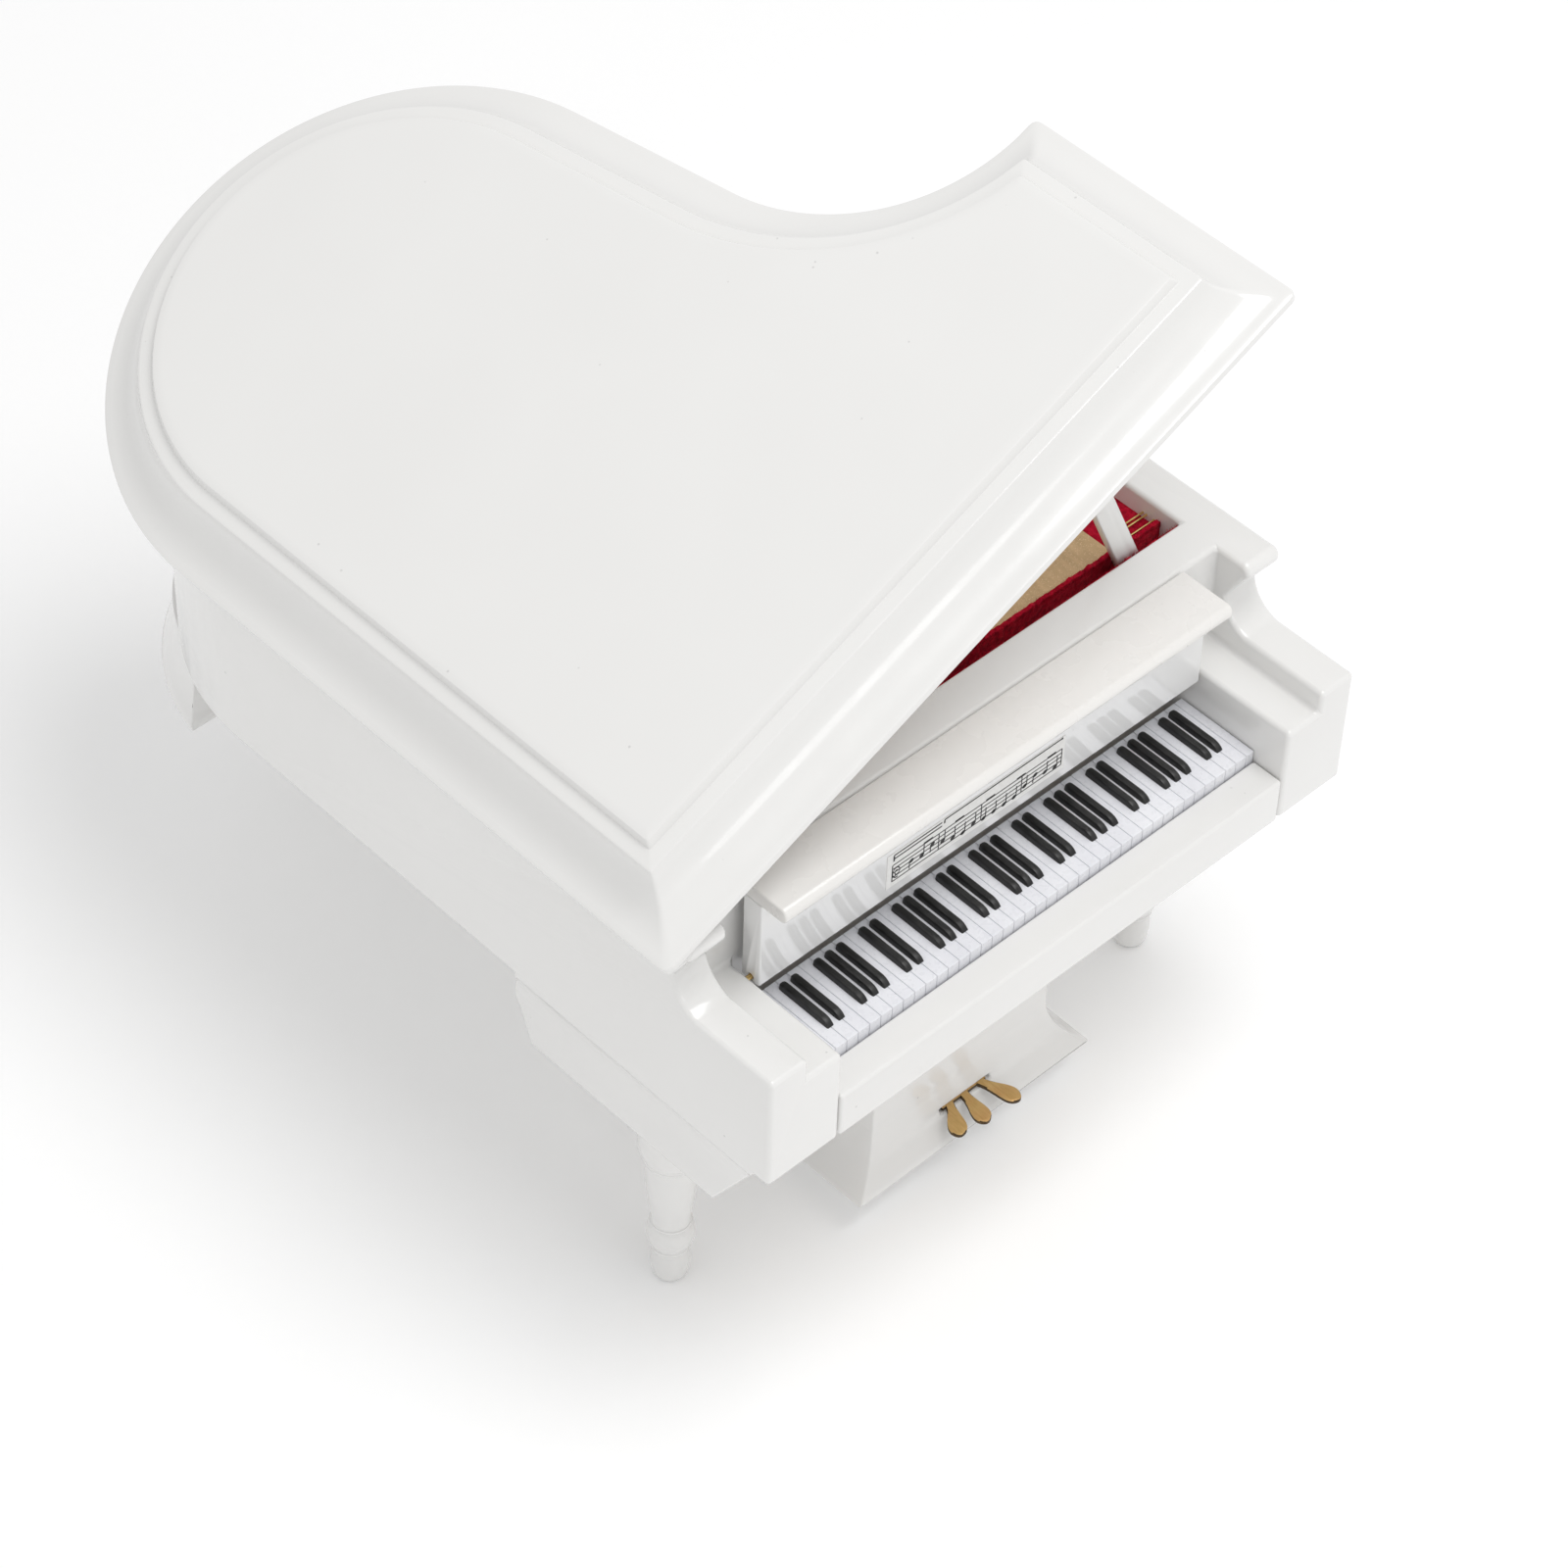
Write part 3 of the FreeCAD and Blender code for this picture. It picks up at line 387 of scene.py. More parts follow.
def clean(made):
    """Joins the triangles of each flat face back into one face."""
    bmesh.ops.dissolve_limit(made, angle_limit=math.radians(0.6), verts=made.verts, edges=made.edges)
    return made


def softened(name, node, material, body, slot, width):
    """A CAD node with its edges rounded as paint and sanding leave them."""
    made = clean(node_mesh(node))
    return bevel(new_piece(name, made, material, body, slot, node), width)


def add_ring(made, points):
    return [made.verts.new(p) for p in points]


def bridge(made, ring_a, ring_b):
    count = len(ring_a)
    for i in range(count):
        j = (i + 1) % count
        made.faces.new((ring_a[i], ring_a[j], ring_b[j], ring_b[i]))


def add_loft(made, rings):
    """Adds a closed skin through rings that have the same number of points."""
    loops = [add_ring(made, ring) for ring in rings]
    for a, b in zip(loops, loops[1:]):
        bridge(made, a, b)
    made.faces.new(loops[0][::-1])
    made.faces.new(loops[-1])


def lofted(rings):
    """A new mesh that holds one such skin."""
    made = bmesh.new()
    add_loft(made, rings)
    return made


def add_box(made, lowest, highest):
    """Adds a plain box to a mesh that holds several."""
    x0, y0, z0 = lowest
    x1, y1, z1 = highest
    corners = [(x, y, z) for z in (z0, z1) for x, y in ((x0, y0), (x1, y0), (x1, y1), (x0, y1))]
    v = add_ring(made, corners)
    for face in ((3, 2, 1, 0), (4, 5, 6, 7), (0, 1, 5, 4), (1, 2, 6, 5), (2, 3, 7, 6), (3, 0, 4, 7)):
        made.faces.new([v[i] for i in face])


def curve_through(points, steps):
    """Catmull-Rom points through a short list of (a, b) pairs."""
    padded = [points[0]] + list(points) + [points[-1]]
    result = []
    for p0, p1, p2, p3 in zip(padded, padded[1:], padded[2:], padded[3:]):
        for step in range(steps):
            t = step / steps
            result.append(tuple(
                0.5 * (2 * b + (c - a) * t + (2 * a - 5 * b + 4 * c - d) * t * t
                       + (3 * b - a - 3 * c + d) * t ** 3)
                for a, b, c, d in zip(p0, p1, p2, p3)))
    return result + [tuple(points[-1])]


# ---------------------------------------------------------------- lid


LID_PLAN = {
    "left": -69.8, "right": 72.4, "front": 17.2,
    "bend": (70.5, 110.0, 36.8), "tail_radius": 50.0, "tail_y": 132.3,
}
LID_CORNER = 1.6
LID_UNDER = 39.79
# Section of the lid's moulded edge: (distance in from the outline, height over the underside)
LID_COVE_LOW = (0.45, 1.75)
LID_COVE_HIGH = (9.2, 9.5)
LID_COVE_SWEEP = (6.0, 74.0)
LID_FILLET_END = (11.7, 9.75)
LID_RISER_END = (12.25, 10.95)
LID_FIELD = (12.8, 11.3)
# A flat margin just inside both broad faces keeps their shading even
LID_FLAT_RIM = 1.3


def arc_points(centre, radius, first, last, count):
    """Points of an arc from one angle to another, in degrees, both ends included."""
    return [
        (centre[0] + radius * math.cos(math.radians(first + (last - first) * i / count)),
         centre[1] + radius * math.sin(math.radians(first + (last - first) * i / count)))
        for i in range(count + 1)
    ]


def rounded_corner(before, corner, after, radius, count=4):
    """Replaces a corner of an outline by a small quadratic round."""
    a = Vector(corner) + (Vector(before) - Vector(corner)).normalized() * radius
    b = Vector(corner) + (Vector(after) - Vector(corner)).normalized() * radius
    c = Vector(corner)
    return [tuple(a * (1 - t) ** 2 + c * 2 * t * (1 - t) + b * t * t)
            for t in (i / count for i in range(count + 1))]


def wing_outline(plan, inset, corner):
    """The wing-shaped plan moved in by inset, as a closed loop that always has the same number of points."""
    left, right, front = plan["left"] + inset, plan["right"] - inset, plan["front"] + inset
    bend_x, bend_y, bend_radius = plan["bend"]
    bend_radius += inset
    tail_radius = plan["tail_radius"] - inset
    tail = (left + tail_radius, plan["tail_y"])
    across, along = tail[0] - bend_x, tail[1] - bend_y
    reach = math.acos((bend_radius + tail_radius) / math.hypot(across, along))
    turn = math.degrees(math.atan2(along, across) + reach)
    rear = 360.0 - math.degrees(math.acos((right - bend_x) / bend_radius))
    bend = arc_points((bend_x, bend_y), bend_radius, rear, turn, 56)
    tail_arc = arc_points(tail, tail_radius, turn - 180.0, 180.0, 84)
    rear_corner = bend[0]
    points = rounded_corner((left, front + 20), (left, front), (left + 20, front), corner)
    points += [(left + (right - left) * k / 8, front) for k in range(1, 8)]
    points += rounded_corner((right - 20, front), (right, front), (right, front + 20), corner)
    points += [(right, front + (rear_corner[1] - front) * k / 5) for k in range(1, 5)]
    points += rounded_corner((right, front), rear_corner, bend[4], corner)
    points += bend[4:]
    points += [tuple(Vector(bend[-1]).lerp(Vector(tail_arc[0]), k / 4)) for k in range(1, 4)]
    points += tail_arc
    points += [(left, tail[1] + (front - tail[1]) * k / 10) for k in range(1, 10)]
    return points


def lid_section():
    """The edge's section from the underside up to the flat field."""
    first, last = (math.radians(a) for a in LID_COVE_SWEEP)
    section = [(LID_FLAT_RIM, 0.0), (0.5, 0.0), (0.16, 0.06), (0.0, 0.3), (0.0, 1.35), (0.08, 1.58)]
    for step in range(15):
        t = first + (last - first) * step / 14
        across = (math.sin(t) - math.sin(first)) / (math.sin(last) - math.sin(first))
        up = (math.cos(first) - math.cos(t)) / (math.cos(first) - math.cos(last))
        section.append((
            LID_COVE_LOW[0] + (LID_COVE_HIGH[0] - LID_COVE_LOW[0]) * across,
            LID_COVE_LOW[1] + (LID_COVE_HIGH[1] - LID_COVE_LOW[1]) * up,
        ))
    section += [
        (LID_COVE_HIGH[0] + 0.12, LID_COVE_HIGH[1] + 0.08),
        (LID_COVE_HIGH[0] + 0.4, LID_COVE_HIGH[1] + 0.13),
        (LID_FILLET_END[0] - 0.3, LID_FILLET_END[1]),
        (LID_FILLET_END[0], LID_FILLET_END[1] + 0.1),
        LID_RISER_END,
        (LID_RISER_END[0] + 0.15, LID_RISER_END[1] + 0.22),
        LID_FIELD,
        (LID_FIELD[0] + LID_FLAT_RIM, LID_FIELD[1]),
    ]
    return section


def lid_pose():
    """From the closed lid's millimetres to the frame at rest: turned about the hinge by its opening."""
    joint = JOINTS["lid_hinge"]
    pivot = Vector(joint["pos_m"])
    turn = Matrix.Rotation(math.radians(-joint["range_deg"][0]), 4, Vector(joint["axis"]))
    return Matrix.Translation(pivot) @ turn @ Matrix.Translation(-pivot)


def make_lid():
    """Outlines that step inwards up the moulded edge, laid at the lid's open angle."""
    pose = lid_pose()
    rings = []
    for inset, height in lid_section():
        corner = max(LID_CORNER - inset * 0.12, 0.5)
        outline = wing_outline(LID_PLAN, inset, corner)
        rings.append([pose @ at(x, y, LID_UNDER + height) for x, y in outline])
    lid = new_piece("lid_moulded", lofted(rings), WHITE, "lid", "white_lacquer", "lid")
    return smooth(lid, 24.0)


# ---------------------------------------------------------------- case


CASE_ROUND = 0.9 * MM
WELD = 2e-6


def end_face(face, y, x0, x1):
    """Whether a face lies in the plane where two side boards meet."""
    centre = face.calc_center_median()
    return abs(centre.y - y) < 0.05 * MM and x0 < centre.x < x1 and abs(face.normal.y) > 0.9


def make_case():
    """Sides, bent rim, top rail and key blocks are painted as one skin, with no seam at their glued ends."""
    made = node_mesh("spine_side", "bent_rim", "treble_side")
    seams = (
        (SPINE_HIGH.y, SPINE_LOW.x, SPINE_HIGH.x),
        (TREBLE_HIGH.y, low("treble_side").x, TREBLE_HIGH.x),
    )
    inside = [face for face in made.faces if any(end_face(face, *seam) for seam in seams)]
    bmesh.ops.delete(made, geom=inside, context="FACES")
    bmesh.ops.remove_doubles(made, verts=made.verts, dist=WELD)
    case = new_piece("case_shell", clean(made), WHITE, "case", "white_lacquer",
                     "spine_side", "bent_rim", "treble_side", "top_rail", "left_key_block", "right_key_block")
    for node in ("top_rail", "left_key_block", "right_key_block"):
        join(case, node)
    return bevel(case, CASE_ROUND, 4)


def join(case, node):
    """Fuses a board that lies flush against the case's sides into the case's skin."""
    mesh = bpy.data.meshes.new("glued_board")
    made = bmesh.new()
    add_box(made, *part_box(node))
    made.to_mesh(mesh)
    made.free()
    board = bpy.data.objects.new("glued_board", mesh)
    bpy.context.scene.collection.objects.link(board)
    union = case.modifiers.new("union", "BOOLEAN")
    union.operation = "UNION"
    union.solver = "EXACT"
    union.object = board
    bpy.context.view_layer.update()
    graph = bpy.context.evaluated_depsgraph_get()
    joined = bpy.data.meshes.new_from_object(case.evaluated_get(graph))
    case.modifiers.remove(union)
    case.data = joined
    bpy.data.objects.remove(board)
    edit = bmesh.new()
    edit.from_mesh(joined)
    bmesh.ops.remove_doubles(edit, verts=edit.verts, dist=WELD)
    clean(edit).to_mesh(joined)
    edit.free()
    paint(case, WHITE)


def make_case_parts():
    """Pieces that keep the CAD's shape: some with rounded edges, the rest only painted."""
    for name, node, material, slot, width in (
        ("key_slip_painted", "key_slip", WHITE, "white_lacquer", 0.6),
        ("tail_leg_block_painted", "tail_leg_block", WHITE, "white_lacquer", 0.25),
        ("pedal_box_painted", "lyre_box", WHITE, "white_lacquer", 0.35),
        ("harp_plate_cut", "harp_plate", GILT, "gilt_plate", 0.15),
    ):
        softened(name, node, material, "case", slot, width * MM)
    softened("prop_stick_painted", "prop_stick", WHITE, "prop", "white_lacquer", 0.3 * MM)
    softened("prop_rest_painted", "prop_rest_block", WHITE, "lid", "white_lacquer", 0.3 * MM)
    # The panel's lacquer is lightened past the case's white: painted light
    softened("fallboard_gloss_panel", "fallboard_panel", GLOSS_PAINTED_LIGHT, "fallboard", "white_lacquer", 0.3 * MM)
    softened("fallboard_rounded_lip", "fallboard_lip", IVORY, "fallboard", "ivory_trim", 0.35 * MM)
    for node, material in (
        ("bottom_board", WHITE), ("keybed", BARE_WOOD), ("trough_floor", VELVET), ("deck_ledge", BARE_WOOD),
        ("soundboard", BARE_WOOD), ("string_bridge", DARK_WOOD), ("long_strings", GOLD_WIRE),
        ("treble_wires", GOLD_WIRE), ("tuning_pins", BRASS), ("prop_pin", BRASS),
        ("left_fallboard_pin", BRASS), ("right_fallboard_pin", BRASS), ("music_sheet", PAPER),
        ("front_hinge_rim_leaf", BRASS), ("front_hinge_lid_leaf", BRASS), ("front_hinge_pin", BRASS),
        ("rear_hinge_rim_leaf", BRASS), ("rear_hinge_lid_leaf", BRASS), ("rear_hinge_pin", BRASS),
    ):
        paint(frame["nodes"][node], material)


# ---------------------------------------------------------------- legs


# A front leg's block, in millimetres: inner and outer x, y of its front at the top and at the bottom,
# and its depth under the case
LEG_BLOCK_INNER, LEG_BLOCK_OUTER = 44.0, 65.0
LEG_BLOCK_FRONT, LEG_BLOCK_FRONT_LOW = 3.5, 12.4
LEG_BLOCK_DEEP = 14.0
# Its back end: (depth under the case, y), with a rounded nose under a hollow neck
LEG_BLOCK_BACK = [
    (0.0, 58.9), (1.1, 58.95), (2.2, 59.15), (3.4, 59.7), (5.0, 59.95), (6.3, 59.8), (7.2, 59.35),
    (10.5, 57.1), (14.0, 54.7),
]
# The long cove in the outer face: how deep it is, how far down it starts and how much lip is left under it
LEG_BLOCK_COVE, LEG_BLOCK_COVE_TOP, LEG_BLOCK_LIP = 0.95, 0.5, 0.8
# Below 1, this moves the deepest line of the cove upwards
LEG_BLOCK_COVE_SKEW = 0.75
# How far its paint runs up over the case's rounded lower edge
LEG_BLOCK_OVERLAP = 0.8
LEG_BLOCK_EDGE = 0.45
# The rounded lower edge: (distance down, distance in)
LEG_BLOCK_ROUND = [(0.0, 0.0), (0.2, 0.04), (0.34, 0.14), (0.42, 0.28), (0.45, 0.45)]
# The last plain level stands this far over the bottom
LEG_BLOCK_PLAIN_END = 0.7


def leg_block_ring(side, depth, inset):
    """One level of a leg block: a rounded rectangle whose outer edge follows the cove."""
    share = depth / LEG_BLOCK_DEEP
    front = LEG_BLOCK_FRONT + (LEG_BLOCK_FRONT_LOW - LEG_BLOCK_FRONT) * share + inset
    backs = curve_through(LEG_BLOCK_BACK, 8)
    back = min(backs, key=lambda point: abs(point[0] - depth))[1] - inset
    cove_tall = LEG_BLOCK_DEEP - LEG_BLOCK_COVE_TOP - LEG_BLOCK_LIP
    sweep = min(max((depth - LEG_BLOCK_COVE_TOP) / cove_tall, 0.0), 1.0)
    outer = LEG_BLOCK_OUTER - LEG_BLOCK_COVE * math.sin(math.pi * sweep ** LEG_BLOCK_COVE_SKEW) - inset
    inner = LEG_BLOCK_INNER + inset
    r = LEG_BLOCK_EDGE
    ring = []
    for x, y, start in ((outer - r, front + r, -90), (outer - r, back - r, 0),
                        (inner + r, back - r, 90), (inner + r, front + r, 180)):
        ring += arc_points((x, y), r, start, start + 90, 4)
    return [at(side * x, y, -depth) for x, y in ring]


def make_leg_block(name, node, side):
    """Stacked levels from just over the case's lower edge down to the rounded bottom."""
    plain_end = LEG_BLOCK_DEEP - LEG_BLOCK_PLAIN_END
    levels = [(-LEG_BLOCK_OVERLAP, 0.02)]
    levels += [(depth, 0.0) for depth, _ in curve_through(LEG_BLOCK_BACK, 4)[:-1] if depth < plain_end]
    levels += [(LEG_BLOCK_DEEP - LEG_BLOCK_ROUND[-1][0] + down, inset) for down, inset in LEG_BLOCK_ROUND]
    rings = [leg_block_ring(side, depth, inset) for depth, inset in levels]
    block = new_piece(name, lofted(rings), WHITE, "case", "white_lacquer", node)
    return smooth(block, 40.0)


# Turned leg: (radius, height over the floor) in millimetres, from the foot up, in smooth runs
LEG_CURVES = [
    [(2.2, 0.0), (2.75, 0.3), (3.08, 1.4), (3.3, 3.2), (3.28, 5.0), (3.0, 6.4), (2.92, 6.9)],
    [(2.92, 6.9), (2.96, 7.25)],
    [(2.96, 7.25), (3.42, 7.4), (3.46, 8.0)],
    [(3.46, 8.0), (3.3, 8.3), (3.75, 9.1), (4.05, 10.4), (4.05, 11.5), (3.8, 12.7), (3.42, 13.5)],
    [(3.42, 13.5), (3.56, 13.75), (3.56, 14.15)],
    [(3.56, 14.15), (3.34, 14.5), (3.42, 16.0), (3.76, 18.8), (4.1, 21.8), (4.32, 25.0), (4.36, 28.0),
     (4.2, 29.6)],
    [(4.2, 29.6), (4.62, 29.75), (4.78, 30.25)],
    [(4.78, 30.25), (4.7, 30.65), (5.1, 31.6), (5.5, 33.2), (5.58, 35.0), (5.58, 39.0), (5.5, 45.7)],
]
LEG_STEPS = 6
LEG_SIDES = 72


def make_leg(name, node):
    """One turned leg over its CAD node's place."""
    lowest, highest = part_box(node)
    centre = (lowest + highest) / 2
    profile = []
    for curve in LEG_CURVES:
        profile += curve_through(curve, LEG_STEPS)[:-1]
    profile.append(LEG_CURVES[-1][-1])
    rings = []
    for radius, height in profile:
        rings.append([
            (centre.x + radius * MM * math.cos(2 * math.pi * k / LEG_SIDES),
             centre.y + radius * MM * math.sin(2 * math.pi * k / LEG_SIDES),
             lowest.z + height * MM)
            for k in range(LEG_SIDES)
        ])
    leg = new_piece(name, lofted(rings), WHITE, "case", "white_lacquer", node)
    return smooth(leg, 35.0)


# ---------------------------------------------------------------- keyboard


KEY_PITCH = 2.443
FIRST_SHARP = -42.35
KEYS_LEFT_OF_SHARPS = 2
WHITE_SLITS = 40
KEY_SLIT = 0.09 * MM
SLIT_DEPTH = 0.22 * MM
SLIT_DEPTH_FRONT = 0.25 * MM
KEY_TAIL_GAP = 0.05 * MM
KEY_ROUND = 0.12 * MM
SHARP_GROUPS = [2, 3, 2, 3, 2, 3, 2, 3, 2, 3, 2]
SHARP_FOOT = 0.72 * MM
SHARP_CROWN = 0.62 * MM
SHARP_SUNK = 0.02 * MM
# Sections along a sharp: distance from its front, then shares of the foot, of the crown and of the height
SHARP_STATIONS = [
    (0.0, 0.80, 0.76, 0.14), (0.12, 0.93, 0.84, 0.30), (0.45, 1.0, 0.92, 0.58), (0.95, 1.0, 0.97, 0.84),
    (1.6, 1.0, 1.0, 0.98), (2.1, 1.0, 1.0, 1.0), (9.9, 1.0, 1.0, 1.0), (10.6, 1.0, 0.98, 0.97),
    (11.0, 0.94, 0.86, 0.9), (11.2, 0.75, 0.6, 0.75),
]


def make_white_keys():
    """One moulding: a bed with a shallow slit between each two keys; the last key is cut short."""
    lowest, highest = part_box("white_keys")
    made = bmesh.new()
    add_box(made, (lowest.x, lowest.y + SLIT_DEPTH_FRONT, lowest.z),
            (highest.x, highest.y, highest.z - SLIT_DEPTH))
    first_slit = FIRST_SHARP - KEY_PITCH * KEYS_LEFT_OF_SHARPS
    slits = [CENTRE_X + (first_slit + KEY_PITCH * slit) * MM for slit in range(WHITE_SLITS)]
    edges = [lowest.x - KEY_SLIT / 2] + slits + [highest.x + KEY_SLIT / 2]
    for left, right in zip(edges, edges[1:]):
        add_box(made, (left + KEY_SLIT / 2, lowest.y, lowest.z),
                (right - KEY_SLIT / 2, highest.y - KEY_TAIL_GAP, highest.z))
    keys = new_piece("white_key_moulding", made, KEY, "case", "white_keys", "white_keys")
    return bevel(keys, KEY_ROUND)


def sharp_ring(x, y, foot, crown, bottom, top):
    """One cross-section of a sharp: upright sides that lean in to a rounded crown."""
    tall = top - bottom
    return [
        (x - foot, y, bottom), (x + foot, y, bottom), (x + crown * 1.04, y, top - tall * 0.2),
        (x + crown * 0.9, y, top - tall * 0.05), (x + crown * 0.6, y, top), (x - crown * 0.6, y, top),
        (x - crown * 0.9, y, top - tall * 0.05), (x - crown * 1.04, y, top - tall * 0.2),
    ]


def make_sharps():
    """Rounded black keys in groups of two and three."""
    lowest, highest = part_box("black_sharps")
    tall = highest.z - lowest.z
    made = bmesh.new()
    start = 0
    for group in SHARP_GROUPS:
        for step in range(group):
            x = CENTRE_X + (FIRST_SHARP + KEY_PITCH * (start + step)) * MM
            add_loft(made, [
                sharp_ring(x, lowest.y + along * MM, SHARP_FOOT * foot, SHARP_CROWN * crown,
                           lowest.z - SHARP_SUNK, lowest.z + tall * up)
                for along, foot, crown, up in SHARP_STATIONS
            ])
        start += group + 1
    sharps = new_piece("black_sharp_moulding", made, SHARP, "case", "black_sharps", "black_sharps")
    return smooth(sharps, 38.0)


# ---------------------------------------------------------------- music sheet


STAFF_LINES = 5
STAFF_GAP = 0.92 * MM
STAFF_INK = 0.23 * MM
RULE_INK = 0.3 * MM
STAFF_MARGIN = 1.2 * MM
STAFF_BOTTOM = 21.6
BAR_LINES = (0.0, 0.27, 0.52, 0.76, 1.0)
INK_THICK = 0.012 * MM
NOTE_COUNT = 15
# Room for the sign at the start of the staff, and the last note's distance from its end
NOTES_START, NOTES_END = 4.2 * MM, 1.4 * MM
NOTE_LONG, NOTE_WIDE = 0.56 * MM, 0.42 * MM
# Cosine and sine of the note heads' tilt
TILT_COS, TILT_SIN = 0.94, 0.34
STEM_HALF = 0.11 * MM
STEM_UP, STEM_DOWN = 2.2 * MM, 1.6 * MM
# Heavy rules over the staff: (left, right, height) in millimetres from the middle of the case
RULES = [(-20.9, -10.4, 27.3), (-20.9, -10.4, 26.5), (-9.9, 16.5, 27.55)]
RULE_TICKS = [(-20.9, 26.1, 27.4), (-9.9, 26.9, 27.6), (16.4, 27.5, 27.9)]


def make_music():
    """A made-up tune on one staff, with heavier rules over it."""
    lowest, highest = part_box("music_sheet")
    front, thick = lowest.y, INK_THICK
    made = bmesh.new()
    left, right = lowest.x + STAFF_MARGIN, highest.x - STAFF_MARGIN * 0.5
    bottom = at(0, 0, STAFF_BOTTOM).z
    top = bottom + STAFF_GAP * (STAFF_LINES - 1)

    def bar(x0, x1, z0, z1):
        add_box(made, (x0, front - thick, z0), (x1, front + thick, z1))

    for line in range(STAFF_LINES):
        z = bottom + STAFF_GAP * line
        bar(left, right, z - STAFF_INK / 2, z + STAFF_INK / 2)
    for share in BAR_LINES:
        x = left + (right - left) * share
        bar(x - STAFF_INK / 2, x + STAFF_INK / 2, bottom, top)
    for x0, x1, z in RULES:
        bar(at(x0, 0, 0).x, at(x1, 0, 0).x, at(0, 0, z).z, at(0, 0, z).z + RULE_INK)
    for x, z0, z1 in RULE_TICKS:
        bar(at(x, 0, 0).x - STAFF_INK / 2, at(x, 0, 0).x + STAFF_INK, at(0, 0, z0).z, at(0, 0, z1).z)
    random.seed(SEED)
    height = 3
    for note in range(NOTE_COUNT):
        x = left + NOTES_START + (right - left - NOTES_START - NOTES_END) * note / (NOTE_COUNT - 1)
        height = max(0, min(6, height + random.choice((-2, -1, 1, 2))))
        z = bottom + STAFF_GAP * height / 2
        add_note(made, x, z, front, thick, height < 4)
        if note % 3 == 1:
            bar(x + 0.3 * MM, x + 2.3 * MM, top - 0.5 * STAFF_INK, top + 1.6 * STAFF_INK)
    add_clef(made, left + 1.0 * MM, bottom + 0.5 * MM, front, thick)
    return new_piece("music_print", made, INK, "fallboard", "paper_sheet")


def add_note(made, x, z, front, thick, stem_up):
    """A tilted oval head with a stem."""
    ring = []
    for k in range(12):
        a = 2 * math.pi * k / 12
        u, w = NOTE_LONG * math.cos(a), NOTE_WIDE * math.sin(a)
        ring.append((x + u * TILT_COS - w * TILT_SIN, z + u * TILT_SIN + w * TILT_COS))
    back = add_ring(made, [(u, front + thick, w) for u, w in ring])
    face = add_ring(made, [(u, front - thick, w) for u, w in ring])
    bridge(made, back, face)
    made.faces.new(face)
    made.faces.new(back[::-1])
    side = NOTE_WIDE if stem_up else -NOTE_WIDE
    z0, z1 = (z, z + STEM_UP) if stem_up else (z - STEM_DOWN, z)
    add_box(made, (x + side - STEM_HALF, front - thick, z0), (x + side + STEM_HALF, front + thick, z1))


SPIRAL_STEPS = 40
SPIRAL_TURN = 3.6 * math.pi
# Radius at the spiral's start, how much it grows, half its line, its middle's height and its narrowness
SPIRAL_START, SPIRAL_GROWTH, SPIRAL_HALF, SPIRAL_UP = 0.2, 1.1, 0.13 * MM, 1.2 * MM
SPIRAL_NARROW = 0.8


def add_clef(made, x, bottom, front, thick):
    """A plain spiral sign in place of a clef."""
    inner, outer = [], []
    for k in range(SPIRAL_STEPS + 1):
        a = SPIRAL_TURN * k / SPIRAL_STEPS
        radius = (SPIRAL_START + SPIRAL_GROWTH * k / SPIRAL_STEPS) * MM
        for ring, r in ((inner, radius - SPIRAL_HALF), (outer, radius + SPIRAL_HALF)):
            ring.append((x + r * SPIRAL_NARROW * math.cos(a), bottom + SPIRAL_UP + r * math.sin(a)))
    for k in range(SPIRAL_STEPS):
        quad = [inner[k], inner[k + 1], outer[k + 1], outer[k]]
        face = add_ring(made, [(u, front - thick, w) for u, w in quad])
        back = add_ring(made, [(u, front + thick, w) for u, w in quad])
        bridge(made, back, face)
        made.faces.new(face)
        made.faces.new(back[::-1])


# ---------------------------------------------------------------- velvet


VELVET_CELL = 0.45 * MM
VELVET_ROWS = 16
TUFT_COUNT = 2600
TUFT_ROOT = 0.5 * MM
TUFT_LENGTHS = (0.5, 1.25)
TUFT_HALVES = (0.035, 0.07)
# The folded edge behind the top rail: left, right, front, back, bottom and top in millimetres
VELVET_BAND = (-57.2, 57.2, 33.42, 34.1, 30.0, 38.1)


def ruffled(point, height, scale):
    """A small seeded unevenness for a pile surface."""
    return height * noise.noise(Vector(point) * scale)


def make_velvet_strip():
    """The lining on the trough's rear wall, with a ragged upper edge."""
    lowest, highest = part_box("velvet_strip")
    columns = int((highest.x - lowest.x) / VELVET_CELL)
    rows = VELVET_ROWS
    made = bmesh.new()
    grid = []
    for row in range(rows + 1):
        t = row / rows
        line = []
        for column in range(columns + 1):
            x = lowest.x + (highest.x - lowest.x) * column / columns
            z = lowest.z + (highest.z - lowest.z) * t
            if row == rows:
                z += ruffled((x, 0.0, 1.0), 0.5 * MM, 900.0)
            y = lowest.y - ruffled((x, 3.0, z), 0.16 * MM, 1300.0) + 0.2 * MM
            line.append(made.verts.new((x, y, z)))
        grid.append(line)
    back = []
    for row in (rows, 0):
        back.append([made.verts.new((v.co.x, highest.y, v.co.z)) for v in grid[row]])
    for a, b in list(zip(grid, grid[1:])) + [(grid[-1], back[0]), (back[0], back[1]), (back[1], grid[0])]:
        for i in range(columns):
            made.faces.new((a[i], a[i + 1], b[i + 1], b[i]))
    for end in (0, columns):
        made.faces.new([line[end] for line in grid] + [back[0][end], back[1][end]])
    strip = new_piece("velvet_strip_pile", made, VELVET, "case", "red_velvet", "velvet_strip")
    return smooth(strip, 60.0)


